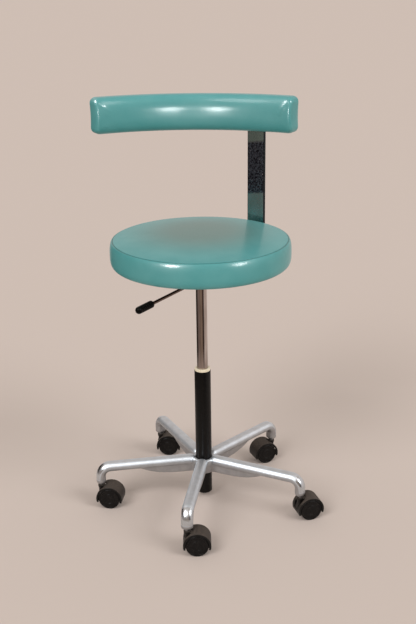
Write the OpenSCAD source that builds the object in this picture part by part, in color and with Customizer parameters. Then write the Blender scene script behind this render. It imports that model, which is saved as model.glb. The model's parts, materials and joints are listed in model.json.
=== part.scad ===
// Height-adjustable medical stool: a five-arm cast base on twin-wheel casters, a gas column,
// a round upholstered seat and a crescent pad on a flat bar that swings round the seat.
// Millimetres, Z up, origin on the floor under the column's axis, front of the stool at -Y.

/* [Casters] */
// Radius of each wheel
wheel_r = 25; // [20:0.5:32]
// Width of one wheel
wheel_w = 13.5; // [10:0.5:18]
// Radius of the axle
axle_r = 3; // [2.5:0.1:4]
// Distance from the stem's axis to the axle
caster_trail = 21; // [19:0.5:26]
// Thickness of the web between the two wheels
caster_web = 13; // [12:0.5:18]
// Clearance between a wheel and the web
wheel_side_gap = 0.75; // [0.4:0.05:1.5]
// Clearance between a wheel's tread and the hood
hood_gap = 2.5; // [1.5:0.1:4]
// Wall of the hood over the wheels
hood_wall = 3; // [2:0.1:4]
// How far the hood's ends reach below the axle, in degrees
hood_wrap = 18; // [0:1:25]
// Radius of the stem where it sits in the base
stem_r = 5.5; // [5.5:0.1:6]
// Radius of the stem's lower end, on which the caster turns
stem_pivot_r = 4; // [3.5:0.1:4.2]
// Gap between the caster's boss and the base's socket
socket_gap = 5; // [2:0.5:12]

/* [Base] */
// Radius from the column's axis to each caster stem
base_r = 244; // [200:1:300]
// Direction of the left arm, in degrees from +X
base_turn = 189; // [153:1:207]
// Width of an arm
arm_w = 27; // [24:0.5:34]
// Depth of an arm's round bar
arm_h = 22; // [20:0.5:24]
// Height from a socket's mouth to the middle of the arm
leg_drop = 39.5; // [36:0.5:60]
// Radius of the bend from arm to socket, at the middle of the bar
arm_bend_r = 22; // [16:0.5:24]
// Rounding of the socket's lower rim
socket_rim = 4; // [1:0.5:5]
// Radius of the hub
hub_r = 27; // [25:0.5:34]
// Depth of the hub below the middle of the arms
hub_below = 29.5; // [22:0.5:40]
// Height of the hub above the middle of the arms
hub_above = 4.5; // [1:0.5:8]
// Thickness of the web under each arm
web_w = 16; // [8:0.5:20]
// Reach of the web from the column's axis
web_reach = 150; // [90:1:170]

/* [Column] */
// Outer radius of the column tube
tube_r = 18.75; // [18:0.05:21]
// Wall of the column tube
tube_wall = 2; // [1.5:0.1:2.5]
// Length of the column tube
tube_len = 311; // [290:1:360]
// Length of the tube that stands out below the hub
tube_tail = 56; // [30:1:60]
// Length of the guide bush inside the tube
bush_len = 60; // [40:1:80]
// Height of the guide bush's flange
bush_flange = 6; // [3:0.5:10]
// Radius of the chromed gas cylinder
cyl_r = 12.5; // [11.5:0.1:13.5]
// Wall of the gas cylinder
cyl_wall = 1.5; // [1:0.1:2]
// Length of chromed cylinder that shows with the seat at its highest
cyl_show = 198.5; // [190:0.5:240]
// Travel of the seat, from its highest to its lowest
lift = 175; // [100:1:180]
// Radius of the piston rod
rod_r = 5; // [4:0.1:6]
// Radius of a bearing ball
ball_r = 2; // [1.5:0.1:2.5]
// Number of bearing balls
ball_count = 10; // [6:1:12]
// Height of the rubber bump stop
bump_h = 14; // [8:1:20]

/* [Seat mechanism] */
// Height of the housing that grips the cylinder
housing_h = 47.5; // [46:0.5:60]
// Radius of the housing where the swing collar turns on it
housing_r = 22; // [20:0.5:24]
// Side of the square seat plate
plate_w = 150; // [120:1:180]
// Thickness of the seat plate
plate_t = 4; // [3:0.5:6]
// Distance of each seat screw from the plate's edges
plate_edge = 15; // [10:0.5:20]
// Radius of the gas valve's button
button_r = 4; // [3:0.1:5]
// Travel of the valve's button
button_travel = 2.4; // [1:0.1:2.5]

/* [Release lever] */
// Direction of the lever, in degrees from +X
lever_turn = 235.5; // [215:0.5:255]
// Reach of the lever from the column's axis
lever_reach = 228; // [180:1:260]
// Radius of the lever's rod
lever_r = 3.5; // [3:0.1:3.7]
// Distance from the column's axis to the lever's pivot
lever_pivot = 32; // [31:0.5:34]
// Downward slope of the outer part of the lever, in degrees
lever_slope = 3; // [0:0.5:6]
// Drop from the lever's inner end to the line of its outer part
lever_crank = 16.1; // [8:0.1:18]
// Length of the grip
grip_len = 50; // [30:1:80]
// Radius of the grip
grip_r = 7.8; // [6:0.1:11]

/* [Seat] */
// Radius of the stitched seam round the top of the seat
seam_r = 191.5; // [170:0.5:215]
// Height of the seat's side, from its underside to the seam
seat_side = 56; // [45:0.5:75]
// How far the side swells past the seam
seat_swell = 7; // [2:0.5:14]
// How far the lower edge is drawn in from the widest part
seat_tuck = 15; // [10:0.5:26]
// Height of the seat's crown above the seam
seat_crown = 9; // [2:0.5:20]
// Thickness of the plywood seat board
board_t = 15; // [10:0.5:20]
// Thickness of the leatherette
cover_t = 1.5; // [1:0.1:2]

/* [Back bar] */
// Direction of the upright bar, in degrees from +X
bar_turn = 52.5; // [40:0.5:65]
// Gap between the widest part of the seat and the bar's inner face
bar_gap = 14.5; // [13:0.5:30]
// Width of the bar
bar_w = 45; // [36:0.5:46]
// Thickness of the bar
bar_t = 7; // [5:0.5:8]
// Inner radius of the bar's bend
bar_bend_r = 14; // [8:0.5:24]
// Wall of the swing collar
collar_wall = 9.5; // [7:0.5:11]
// Height of the swing collar
collar_h = 14; // [10:0.5:15]

/* [Back pad] */
// Radius of the pad's front face, seen from above
pad_front_r = 408; // [380:1:450]
// Direction from the centre of the pad's curve to the bar, in degrees
pad_bar_turn = 69.4; // [67:0.2:72]
// Thickness of the bracket's wedge between the pad's back and the bar, at its middle
wedge_mid = 6; // [5:0.5:12]
// Direction of the middle of the pad from that centre, in degrees
pad_turn = 86.8; // [84:0.2:90]
// Half of the angle that the pad spans, in degrees
pad_half = 31.4; // [28:0.2:40]
// Thickness of the pad
pad_depth = 42; // [36:0.5:44]
// Height of the pad
pad_h = 81; // [72:1:100]
// Height from the seat's seam to the lower edge of the pad
pad_rise = 208; // [150:0.5:300]
// Rounding of the pad's ends
pad_end_r = 9; // [4:0.5:12]
// How far the pad's ends are drawn in at mid height
pad_pinch = 2; // [0:0.5:4]
// Thickness of the pad's curved plywood
pad_board_t = 9; // [6:0.5:11]

/* [Fasteners and fits] */
// Radial clearance of a running or sliding fit
run_fit = 0.05; // [0.01:0.01:0.08]
// Clearance between faces of parts that move past each other
face_gap = 0.4; // [0.3:0.05:0.6]
// Radius of the seat and bar screws
screw_r = 3; // [2.5:0.1:3.5]
// Radius of the collar's bolts
bolt_r = 4; // [3:0.1:4.5]
// Radius of the wood screws that hold the pad
wood_screw_r = 2; // [1.5:0.1:2.5]

/* [Hidden] */
CASTERS = ["left", "front", "right", "back_right", "back_left"];
arm_count = len(CASTERS);
arm_step = 360 / arm_count;

// Smoothness of large rounds and of small ones
big_fn = 120;
small_fn = 48;
// Overrun of every cut past the face that it opens
cut = 1;

// Direction in which each caster trails, in degrees from +X, as the stool stood
caster_trails = [-8, 0, 16, 202, -4];

// Casters
axle_z = wheel_r;
axle_inset = 2.5;
stem_relief = 7.5;
boss_wall = 2.5;
boss_collar_h = 6.5;
wheel_hub_wall = 3.5;
hood_in_r = wheel_r + hood_gap;
hood_r = hood_in_r + hood_wall;
wheel_in = caster_web / 2 + wheel_side_gap;
wheel_out = wheel_in + wheel_w;
hood_w = 2 * wheel_out + wheel_side_gap;
hood_relief_r = stem_r + stem_relief;
boss_r = stem_r + boss_wall;
boss_top = axle_z + hood_r - hood_wall / 2;
web_foot = wheel_r * 0.45;
axle_half = wheel_out - axle_inset;
wheel_hub_r = axle_r + wheel_hub_wall;
rim_wall = wheel_r * 0.15;
disc_wall = wheel_w * 0.18;
face_dish = wheel_w * 0.07;
tread_round = wheel_w * 0.15;
socket_z = boss_top + socket_gap;
stem_foot = axle_z + wheel_r * 0.25;

// Base
hub_round = 3;
arm_clear = 1.5;
stem_head_gap = 1;
web_steps = 12;
web_power = 3.4;
arm_z = socket_z + leg_drop;
arm_round = arm_h / 2;
arm_off = (arm_w - arm_h) / 2;
arm_start = tube_r + arm_round + arm_clear;
arm_under = arm_z - arm_round;
bend_x = base_r - arm_bend_r;
bend_z = arm_z - arm_bend_r;
hub_z0 = arm_z - hub_below;
hub_z1 = arm_z + hub_above;
bore_depth = leg_drop * 0.58;

// Column tube, its end plate and the thrust bearing
bush_set_in = 0.75;
end_plate_t = 4;
end_plate_inset = 6;
race_t = 1.5;
race_clear = 1.75;
ball_gap = 0.06;
bump_clear = 7;
tube_in_r = tube_r - tube_wall;
tube_z0 = hub_z0 - tube_tail;
tube_z1 = tube_z0 + tube_len;
bush_top = tube_z1 + bush_flange;
bush_r = tube_r - bush_set_in;
bush_bore = cyl_r + run_fit;
plate_hole_r = rod_r + run_fit;
end_plate_z = tube_z0 + end_plate_inset;
end_plate_z1 = end_plate_z + end_plate_t;
race_r = tube_in_r - race_clear;
race_bore = rod_r + face_gap;
ball_ring_r = (race_r + race_bore) / 2;
lower_race_z1 = end_plate_z1 + race_t;
ball_z = lower_race_z1 + ball_gap + ball_r;
cage_t = ball_r * 0.9;
upper_race_z = ball_z + ball_r;
upper_race_z1 = upper_race_z + race_t;
bump_z1 = upper_race_z1 + bump_h;
bump_round = bump_h * 0.2;

// Gas spring
guide_h = 14;
piston_gap = 6;
piston_h = 16;
ring_groove = 1.2;
clip_t = 1.2;
clip_reach = 3.5;
clip_depth = 1;
rod_tail = 2.5;
button_show = 4;
button_round = 1.2;
cyl_bore = cyl_r - cyl_wall;
bump_r = cyl_bore + cyl_wall / 2;
housing_z0 = bush_top + cyl_show;
cyl_grip = housing_h * 0.58;
cyl_z1 = housing_z0 + cyl_grip;
cyl_z0 = bump_z1 + lift + bump_clear;
piston_z = cyl_z0 + guide_h + piston_gap;
piston_r = cyl_bore - run_fit;
clip_r = rod_r + clip_reach;
clip_neck_r = rod_r - clip_depth;
clip_z = end_plate_z - run_fit - clip_t;
rod_z0 = clip_z - rod_tail;
rod_z1 = piston_z + piston_h;
valve_h = cyl_grip * 0.72;
button_top = cyl_z1 + button_show;
button_z0 = cyl_z1 - valve_h / 2;
button_hole_z0 = button_z0 - button_travel - face_gap;

// Seat mechanism
shoulder_step = 3;
ring_t = 1.5;
ring_lift = 2;
ring_depth = 1.2;
ring_reach = 4.5;
eye_wall = 2.5;
eye_side = 0.5;
knee_swell = 0.15;
pin_r = 2.5;
ear_t = 3.5;
ear_lip = 1;
slot_floor = 0.8;
plate_z = housing_z0 + housing_h;
plate_top = plate_z + plate_t;
plate_round = plate_w * 0.12;
plate_hole = plate_w / 2 - plate_edge;
shoulder_r = housing_r + shoulder_step;
ring_in_r = housing_r - ring_depth;
ring_out_r = housing_r + ring_reach;
ring_z0 = housing_z0 + ring_lift;
ring_z1 = ring_z0 + ring_t;
collar_z = ring_z1 + face_gap;
collar_z1 = collar_z + collar_h;
shoulder_z = collar_z1 + face_gap;
lever_z = button_top + face_gap + lever_r;
eye_r = lever_r + eye_wall;
eye_w = 2 * (lever_r + eye_side);
ear_in = eye_w / 2 + face_gap;
ear_reach = lever_pivot + eye_r + ear_lip;
ear_z = lever_z - eye_r - ear_lip;
pin_half = ear_in + ear_t;
slot_z = cyl_z1 + slot_floor;

// Release lever, as points [x, z] in its own plane with X outwards
grip_ribs = 9;
grip_groove = 0.7;
lever_line_z = lever_z - lever_crank;
crank_r = ear_reach + lever_crank * 0.85;
lever_inner = [-lever_r, lever_z];
lever_eye = [lever_pivot, lever_z];
lever_knee = [crank_r, lever_line_z - crank_r * tan(lever_slope)];
lever_end = [lever_reach, lever_line_z - lever_reach * tan(lever_slope)];
grip_dir = [cos(lever_slope), -sin(lever_slope)];
grip_start = lever_end - grip_dir * grip_len;
rod_end = lever_end - grip_dir * grip_r;
grip_straight = grip_len - grip_r;

// Seat
seat_steps = 12;
turn_in = 20;
board_inset = 2;
foam_gap = 0.3;
seam_inset = 0.8;
dust_inset = 1;
dust_hole_gap = 8;
tee_wall = 1;
tee_flange = 6;
tee_flange_t = 1.5;
screw_head = 3;
crown_power = 2.2;
side_power = 1.35;
foot_power = 3.2;
widest_share = 0.48;
seat_z0 = plate_top;
board_z = seat_z0 + cover_t;
board_z1 = board_z + board_t;
seam_z = seat_z0 + seat_side;
seat_r = seam_r + seat_swell;
widest_z = seat_z0 + seat_side * widest_share;
seat_foot_r = seat_r - seat_tuck;
turn_in_r = seat_foot_r - turn_in;
seat_board_r = seat_foot_r - board_inset;
dust_r = turn_in_r - dust_inset;
dust_hole_r = housing_r + dust_hole_gap;
tee_r = screw_r + tee_wall;
tee_flange_r = screw_r + tee_flange;
screw_head_r = screw_r + screw_head;
screw_head_h = screw_r * 1.3;

// Swing collar and bar
bush_wall = 2.5;
bar_clear = 2;
lug_len = 46;
bolt_shares = [0.3, 0.75];
collar_in_r = housing_r + run_fit;
collar_bore = collar_in_r + bush_wall;
collar_r = collar_bore + collar_wall;
bar_start = collar_r + bar_clear;
bar_z0 = collar_z1;
bar_z1 = bar_z0 + bar_t;
bar_face_r = seat_r + bar_gap;
bar_out_r = bar_face_r + bar_t;
bar_bend_x = bar_face_r - bar_bend_r;
bar_bend_z = bar_z1 + bar_bend_r;
lug_t = collar_h / 2;
lug_z = collar_z1 - lug_t;
lug_end = bar_start + lug_len;
bolt_x = [for (s = bolt_shares) bar_start + lug_len * s];
bolt_head_h = bolt_r * 1.3;
bolt_head_r = bolt_r * 1.75;
nut_h = bolt_r * 1.6;

// Back pad
pad_fn = 24;
pad_end_steps = 5;
pad_mid_steps = 14;
board_gap = 1;
bracket_t = 3;
bracket_half_len = 44;
wedge_deep = 26;
bar_screw_bite = 8;
front_share = 0.56;
front_power = 2.7;
back_power = 7;
pad_z0 = seam_z + pad_rise;
pad_z1 = pad_z0 + pad_h;
pad_half_z = pad_h / 2;
pad_mid_z = pad_z0 + pad_half_z;
pad_back_r = pad_front_r + pad_depth;
pad_core_r = pad_front_r + pad_depth * front_share;
pad_half_len = pad_core_r * pad_half * PI / 180;
bar_top = pad_z1 - pad_h * 0.24;
pad_board_r1 = pad_back_r - cover_t - board_gap;
pad_board_r0 = pad_board_r1 - pad_board_t;
pad_board_half_z = pad_half_z * 0.76;
pad_board_half = pad_half * 0.93;
bracket_r0 = pad_back_r + face_gap;
bracket_r1 = bracket_r0 + bracket_t;
bracket_half_z = pad_half_z * 0.62;
bar_face_x = bar_face_r * cos(bar_turn);
bar_face_y = bar_face_r * sin(bar_turn);
bar_face_dist = bracket_r1 + wedge_mid;
pad_centre_x = bar_face_x - bar_face_dist * cos(pad_bar_turn);
pad_centre_y = bar_face_y - bar_face_dist * sin(pad_bar_turn);
bracket_half = bracket_half_len / pad_back_r * 180 / PI;
foam_gap_turn = foam_gap / pad_back_r * 180 / PI;
wedge_w = bar_w * 0.9;
bar_screw_z = bracket_half_z * 0.5;
bar_screw_len = bar_t + bar_screw_bite;
pad_screw_turn = bracket_half * 0.84;
pad_screw_z = bracket_half_z * 0.7;
pad_screw_len = bracket_t + cover_t + board_gap + pad_board_t * 0.7;

// Turning solids and plain rings along Z

module rod_z(r, z0, z1, fn = small_fn)
    translate([0, 0, z0])
        cylinder(r = r, h = z1 - z0, $fn = fn);

module ring_z(r_out, r_in, z0, z1, fn = small_fn)
    difference() {
        rod_z(r_out, z0, z1, fn);
        rod_z(r_in, z0 - cut, z1 + cut, fn);
    }

module ring_section(r_out, r_in, z0, z1)
    translate([r_in, z0])
        square([r_out - r_in, z1 - z0]);

// A rod of radius r along Y, from -half to half
module rod_y(r, half, fn = small_fn)
    rotate([90, 0, 0])
        cylinder(r = r, h = 2 * half, center = true, $fn = fn);

// A rod of radius r in the XZ plane from point a to point b, both as [x, z]
module rod_xz(r, a, b, fn = small_fn)
    translate([a[0], 0, a[1]])
        rotate([0, 90 - atan2(b[1] - a[1], b[0] - a[0]), 0])
            cylinder(r = r, h = norm(b - a), $fn = fn);

// A screw pointing up, its hexagon head below z0
module screw_z(r, z0, z1, head_r, head_h, fn = small_fn) {
    rod_z(r, z0, z1, fn);
    translate([0, 0, z0 - head_h])
        cylinder(r = head_r, h = head_h, $fn = 6);
}

// Base

function arm_turn(i) = base_turn + i * arm_step;

// Underside of the web at a distance x from the axis
function web_z(x) =
    hub_z0 + (arm_under - hub_z0) * pow((x - hub_r) / (web_reach - hub_r), web_power);

module stadium_section()
    union() {
        for (s = [-1, 1])
            translate([0, s * arm_off])
                circle(r = arm_round, $fn = small_fn);
        square([arm_h, 2 * arm_off], center = true);
    }

module arm_bar()
    union() {
        translate([arm_start, 0, arm_z])
            rotate([90, 0, 90])
                linear_extrude(bend_x - arm_start)
                    rotate(90)
                        stadium_section();
        for (s = [-1, 1])
            translate([arm_start, s * arm_off, arm_z])
                sphere(r = arm_round, $fn = small_fn);
        translate([arm_start, 0, arm_z])
            rod_y(arm_round, arm_off);
        translate([bend_x, 0, bend_z])
            rotate([90, 0, 0])
                rotate_extrude(angle = 90, $fn = small_fn)
                    translate([arm_bend_r, 0])
                        stadium_section();
    }

// Half of a rounded foot in section, from the axis out to r
module foot_section(r, h)
    union() {
        translate([0, socket_rim])
            square([r, h - socket_rim]);
        square([r - socket_rim, socket_rim]);
        translate([r - socket_rim, socket_rim])
            circle(r = socket_rim, $fn = small_fn);
    }

module leg()
    translate([base_r, 0, socket_z])
        union() {
            for (s = [-1, 1])
                translate([0, s * arm_off, 0])
                    rotate_extrude($fn = small_fn)
                        foot_section(arm_round, bend_z - socket_z);
            for (m = [0, 1])
                mirror([m, 0, 0])
                    rotate([90, 0, 0])
                        linear_extrude(2 * arm_off, center = true)
                            foot_section(arm_round, bend_z - socket_z);
        }

module arm_web()
    rotate([90, 0, 0])
        linear_extrude(web_w, center = true)
            polygon(concat(
                [[hub_r - hub_round, arm_z], [hub_r - hub_round, hub_z0]],
                [for (i = [0 : web_steps])
                    let (x = hub_r + (web_reach - hub_r) * i / web_steps) [x, web_z(x)]],
                [[web_reach, arm_z]]
            ));

module star_base()
    color("#c9cbd0")
    difference() {
        union() {
            rotate_extrude($fn = big_fn)
                union() {
                    square_from_axis(hub_r, hub_z0, hub_z1 - hub_round);
                    square_from_axis(hub_r - hub_round, hub_z0, hub_z1);
                    translate([hub_r - hub_round, hub_z1 - hub_round])
                        circle(r = hub_round, $fn = small_fn);
                }
            for (i = [0 : arm_count - 1])
                rotate([0, 0, arm_turn(i)]) {
                    arm_bar();
                    leg();
                    arm_web();
                }
        }
        rod_z(tube_r, hub_z0 - cut, arm_z + arm_h, big_fn);
        for (i = [0 : arm_count - 1])
            rotate([0, 0, arm_turn(i)])
                translate([base_r, 0, 0])
                    rod_z(stem_r, socket_z - cut, socket_z + bore_depth);
    }

module square_from_axis(r, z0, z1)
    translate([0, z0])
        square([r, z1 - z0]);

module stand_tube()
    color("#1a1918")
    ring_z(tube_r, tube_in_r, tube_z0, tube_z1, big_fn);

module guide_bush()
    color("#e9dcc0")
    rotate_extrude($fn = big_fn)
        union() {
            ring_section(tube_in_r, bush_bore, tube_z1 - bush_len, tube_z1);
            ring_section(bush_r, bush_bore, tube_z1, bush_top);
        }

module caster_stems()
    color("#8b8c8e")
    for (i = [0 : arm_count - 1])
        rotate([0, 0, arm_turn(i)])
            translate([base_r, 0, 0])
                union() {
                    rod_z(stem_r, boss_top + face_gap, socket_z + bore_depth - stem_head_gap);
                    rod_z(stem_pivot_r, stem_foot, socket_z);
                }

module tube_end_plate()
    color("#6f6f70")
    ring_z(tube_in_r, plate_hole_r, end_plate_z, end_plate_z1);

// Bearing and gas spring

module lower_race()
    color("#b9babc")
    ring_z(race_r, race_bore, end_plate_z1, lower_race_z1);

module ball_places()
    for (i = [0 : ball_count - 1])
        rotate([0, 0, i * 360 / ball_count])
            translate([ball_ring_r, 0, ball_z])
                children();

module ball_cage()
    color("#b08d3c")
    difference() {
        ring_z(race_r - face_gap, race_bore + face_gap, ball_z - cage_t / 2, ball_z + cage_t / 2);
        ball_places()
            cylinder(r = ball_r + run_fit, h = 2 * ball_r, center = true, $fn = small_fn);
    }

module bearing_balls()
    color("#d0d2d5")
    ball_places()
        sphere(r = ball_r, $fn = small_fn);

module upper_race()
    color("#b9babc")
    ring_z(race_r, rod_r, upper_race_z, upper_race_z1);

module bump_stop()
    color("#22201f")
    rotate_extrude($fn = small_fn)
        union() {
            ring_section(bump_r, rod_r, upper_race_z1, bump_z1 - bump_round);
            ring_section(bump_r - bump_round, rod_r, upper_race_z1, bump_z1);
            translate([bump_r - bump_round, bump_z1 - bump_round])
                circle(r = bump_round, $fn = small_fn);
        }

module piston_rod()
    color("#cfd2d6")
    union() {
        rod_z(rod_r, rod_z0, clip_z);
        rod_z(clip_neck_r, clip_z - cut, clip_z + clip_t + cut);
        rod_z(rod_r, clip_z + clip_t, rod_z1);
    }

module rod_clip()
    color("#8c8d90")
    difference() {
        ring_z(clip_r, clip_neck_r, clip_z, clip_z + clip_t);
        translate([0, -clip_neck_r * 0.8, clip_z - cut])
            cube([clip_r + cut, clip_neck_r * 1.6, clip_t + 2 * cut]);
    }

module piston()
    color("#3b3a39")
    rotate_extrude($fn = big_fn)
        difference() {
            ring_section(piston_r, rod_r, piston_z, rod_z1);
            for (s = [0.28, 0.72])
                translate([piston_r, piston_z + piston_h * s])
                    square(ring_groove, center = true);
        }

module gas_cylinder()
    color("#d6d8db")
    ring_z(cyl_r, cyl_bore, cyl_z0, cyl_z1, big_fn);

module rod_guide()
    color("#3b3a39")
    ring_z(cyl_bore, rod_r + run_fit, cyl_z0, cyl_z0 + guide_h, big_fn);

module valve_block()
    color("#a9abae")
    difference() {
        rod_z(cyl_bore, cyl_z1 - valve_h, cyl_z1, big_fn);
        rod_z(button_r + run_fit, button_hole_z0, cyl_z1 + cut);
    }

module valve_button()
    color("#b8322a")
    union() {
        rod_z(button_r, button_z0, button_top - button_round);
        translate([0, 0, button_top - button_round])
            cylinder(r1 = button_r, r2 = button_r - button_round, h = button_round, $fn = small_fn);
    }

// Seat mechanism

module column_housing()
    color("#2a2928")
    difference() {
        union() {
            rod_z(housing_r, housing_z0, shoulder_z, big_fn);
            rod_z(shoulder_r, shoulder_z, plate_z, big_fn);
            rotate([0, 0, lever_turn])
                for (s = [-1, 1])
                    translate([housing_r - cut, s * (ear_in + ear_t / 2) - ear_t / 2, ear_z])
                        cube([ear_reach - housing_r + cut, ear_t, plate_z - ear_z]);
        }
        rod_z(cyl_r, housing_z0 - cut, cyl_z1, big_fn);
        rod_z(cyl_bore, cyl_z1 - cut, plate_z + cut, big_fn);
        ring_z(ring_out_r, ring_in_r, ring_z0, ring_z1, big_fn);
        rotate([0, 0, lever_turn]) {
            translate([0, -ear_in, slot_z])
                cube([ear_reach, 2 * ear_in, lever_z + eye_r + ear_lip - slot_z]);
            translate([lever_pivot, 0, lever_z])
                rod_y(pin_r, pin_half + cut);
        }
    }

module collar_ring()
    color("#8c8d90")
    difference() {
        ring_z(ring_out_r, ring_in_r, ring_z0, ring_z1, big_fn);
        rotate([0, 0, bar_turn])
            translate([0, -ring_in_r / 4, housing_z0])
                cube([ring_out_r + cut, ring_in_r / 2, housing_h]);
    }

module plate_corners()
    for (x = [-1, 1], y = [-1, 1])
        translate([x * plate_hole, y * plate_hole, 0])
            children();

module seat_plate()
    color("#3a3a3b")
    difference() {
        union() {
            for (w = [[plate_w, plate_w - 2 * plate_round], [plate_w - 2 * plate_round, plate_w]])
                translate([-w[0] / 2, -w[1] / 2, plate_z])
                    cube([w[0], w[1], plate_t]);
            for (x = [-1, 1], y = [-1, 1])
                translate([x * (plate_w / 2 - plate_round), y * (plate_w / 2 - plate_round), 0])
                    rod_z(plate_round, plate_z, plate_top);
        }
        rod_z(cyl_bore, plate_z - cut, plate_top + cut);
        plate_corners()
            rod_z(screw_r, plate_z - cut, plate_top + cut);
    }

module seat_screws()
    color("#9a9b9e")
    plate_corners()
        screw_z(screw_r, plate_z, board_z1 - tee_flange_t, screw_head_r, screw_head_h);

module tee_nuts()
    color("#b5a76a")
    plate_corners()
        difference() {
            union() {
                rod_z(tee_r, board_z + board_t / 3, board_z1);
                rod_z(tee_flange_r, board_z1 - tee_flange_t, board_z1);
            }
            rod_z(screw_r, board_z, board_z1 + cut);
        }

module seat_board()
    color("#b98f5a")
    difference() {
        rod_z(seat_board_r, board_z, board_z1, big_fn);
        plate_corners() {
            rod_z(tee_r, board_z - cut, board_z1 + cut);
            rod_z(tee_flange_r, board_z1 - tee_flange_t, board_z1 + cut);
        }
    }

module dust_cover()
    color("#242322")
    difference() {
        ring_z(dust_r, dust_hole_r, seat_z0, board_z, big_fn);
        plate_corners()
            rod_z(screw_r, seat_z0 - cut, board_z + cut);
    }

// Seat cushion, as curves of half sections. The inset i draws every face in.

function crown_z(r, i) =
    seam_z - i + seat_crown * (1 - pow(r / seam_r, crown_power));

function crown_points(i, r_end) =
    [for (k = [0 : seat_steps]) let (r = r_end * k / seat_steps) [r, crown_z(r, i)]];

// Side of the seat from the seam down to its foot, for an inset i
function side_points(i) = concat(
    [for (k = [0 : seat_steps])
        let (u = 1 - k / seat_steps)
        [
            seam_r - i + seat_swell * (1 - pow(u, side_power)),
            widest_z + (seam_z - i - widest_z) * u
        ]],
    [for (k = [1 : seat_steps])
        let (a = 90 * k / seat_steps)
        [
            seat_foot_r - i + seat_tuck * pow(cos(a), 2 / foot_power),
            widest_z - (widest_z - seat_z0 - i) * pow(sin(a), 2 / foot_power)
        ]]
);

function reversed(list) = [for (k = [len(list) - 1 : -1 : 0]) list[k]];

module seat_cover_top()
    color("#5f9a97")
    rotate_extrude($fn = big_fn)
        polygon(concat(
            crown_points(0, seam_r - seam_inset),
            reversed(crown_points(cover_t, seam_r - seam_inset))
        ));

module seat_cover_band()
    color("#4f8f8c")
    rotate_extrude($fn = big_fn)
        polygon(concat(
            [[seam_r - seam_inset, seam_z]],
            side_points(0),
            [[turn_in_r, seat_z0], [turn_in_r, seat_z0 + cover_t]],
            reversed(side_points(cover_t)),
            [[seam_r - seam_inset, seam_z - cover_t]]
        ));

module seat_foam()
    color("#e3d7a8")
    rotate_extrude($fn = big_fn)
        polygon(concat(
            [[0, board_z1 + foam_gap]],
            crown_points(cover_t + foam_gap, seam_r - cover_t - foam_gap),
            side_points(cover_t + foam_gap),
            [
                [seat_board_r + foam_gap, seat_z0 + cover_t + foam_gap],
                [seat_board_r + foam_gap, board_z1 + foam_gap]
            ]
        ));

// Release lever, in its own XZ plane with X outwards

module lever_pin()
    color("#a3a4a7")
    rotate([0, 0, lever_turn])
        translate([lever_pivot, 0, lever_z])
            rod_y(pin_r, pin_half);

module lever_rod()
    color("#9a9792")
    rotate([0, 0, lever_turn])
        difference() {
            union() {
                rod_xz(lever_r, lever_inner, lever_eye);
                translate([lever_pivot, 0, lever_z])
                    rod_y(eye_r, eye_w / 2);
                rod_xz(lever_r, lever_eye, lever_knee);
                translate([lever_knee[0], 0, lever_knee[1]])
                    sphere(r = lever_r + knee_swell, $fn = small_fn);
                rod_xz(lever_r, lever_knee, rod_end);
            }
            translate([lever_pivot, 0, lever_z])
                rod_y(pin_r + run_fit, eye_w);
        }

module lever_grip()
    color("#171615")
    rotate([0, 0, lever_turn])
        translate([grip_start[0], 0, grip_start[1]])
            rotate([0, 90 + lever_slope, 0])
                rotate_extrude($fn = small_fn)
                    difference() {
                        union() {
                            ring_section(grip_r, 0, 0, grip_straight);
                            intersection() {
                                translate([0, grip_straight])
                                    circle(r = grip_r, $fn = small_fn);
                                ring_section(grip_r, 0, grip_straight - cut, grip_len);
                            }
                        }
                        ring_section(lever_r, 0, -cut, grip_straight);
                        for (k = [1 : grip_ribs - 1])
                            translate([grip_r, k * grip_straight / grip_ribs])
                                circle(r = grip_groove, $fn = small_fn);
                    }

// Swinging support, in its own XZ plane with X outwards

module swing_bush()
    color("#e9dcc0")
    ring_z(collar_bore, collar_in_r, collar_z, collar_z1, big_fn);

module swing_collar()
    color("#2a2928")
    rotate([0, 0, bar_turn])
        difference() {
            union() {
                rod_z(collar_r, collar_z, collar_z1, big_fn);
                translate([0, -bar_w / 2, lug_z])
                    cube([lug_end, bar_w, lug_t]);
            }
            rod_z(collar_bore, collar_z - cut, collar_z1 + cut, big_fn);
            for (x = bolt_x)
                translate([x, 0, 0])
                    rod_z(bolt_r, collar_z - cut, collar_z1 + cut);
        }

module collar_bolts()
    color("#9a9b9e")
    rotate([0, 0, bar_turn])
        for (x = bolt_x)
            translate([x, 0, 0])
                union() {
                    screw_z(bolt_r, lug_z, bar_z1 + nut_h, bolt_head_r, bolt_head_h);
                    translate([0, 0, bar_z1])
                        cylinder(r = bolt_head_r, h = nut_h, $fn = 6);
                }

module support_bar()
    color("#b9bcc0")
    rotate([0, 0, bar_turn])
        difference() {
            union() {
                translate([bar_start, -bar_w / 2, bar_z0])
                    cube([bar_bend_x - bar_start, bar_w, bar_t]);
                translate([bar_bend_x, 0, bar_bend_z])
                    rotate([90, 0, 0])
                        rotate([0, 0, -90])
                            rotate_extrude(angle = 90, $fn = big_fn)
                                translate([bar_bend_r, -bar_w / 2])
                                    square([bar_t, bar_w]);
                translate([bar_face_r, -bar_w / 2, bar_bend_z])
                    cube([bar_t, bar_w, bar_top - bar_bend_z]);
            }
            for (x = bolt_x)
                translate([x, 0, 0])
                    rod_z(bolt_r, bar_z0 - cut, bar_z1 + cut);
            bar_screw_places()
                cylinder(r = screw_r, h = 4 * bar_t, center = true, $fn = small_fn);
        }

// Places of the bar's screws, with Z turned to point outwards from the column
module bar_screw_places()
    for (s = [-1, 1])
        translate([bar_out_r, 0, pad_mid_z + s * bar_screw_z])
            rotate([0, 90, 0])
                children();

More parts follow.
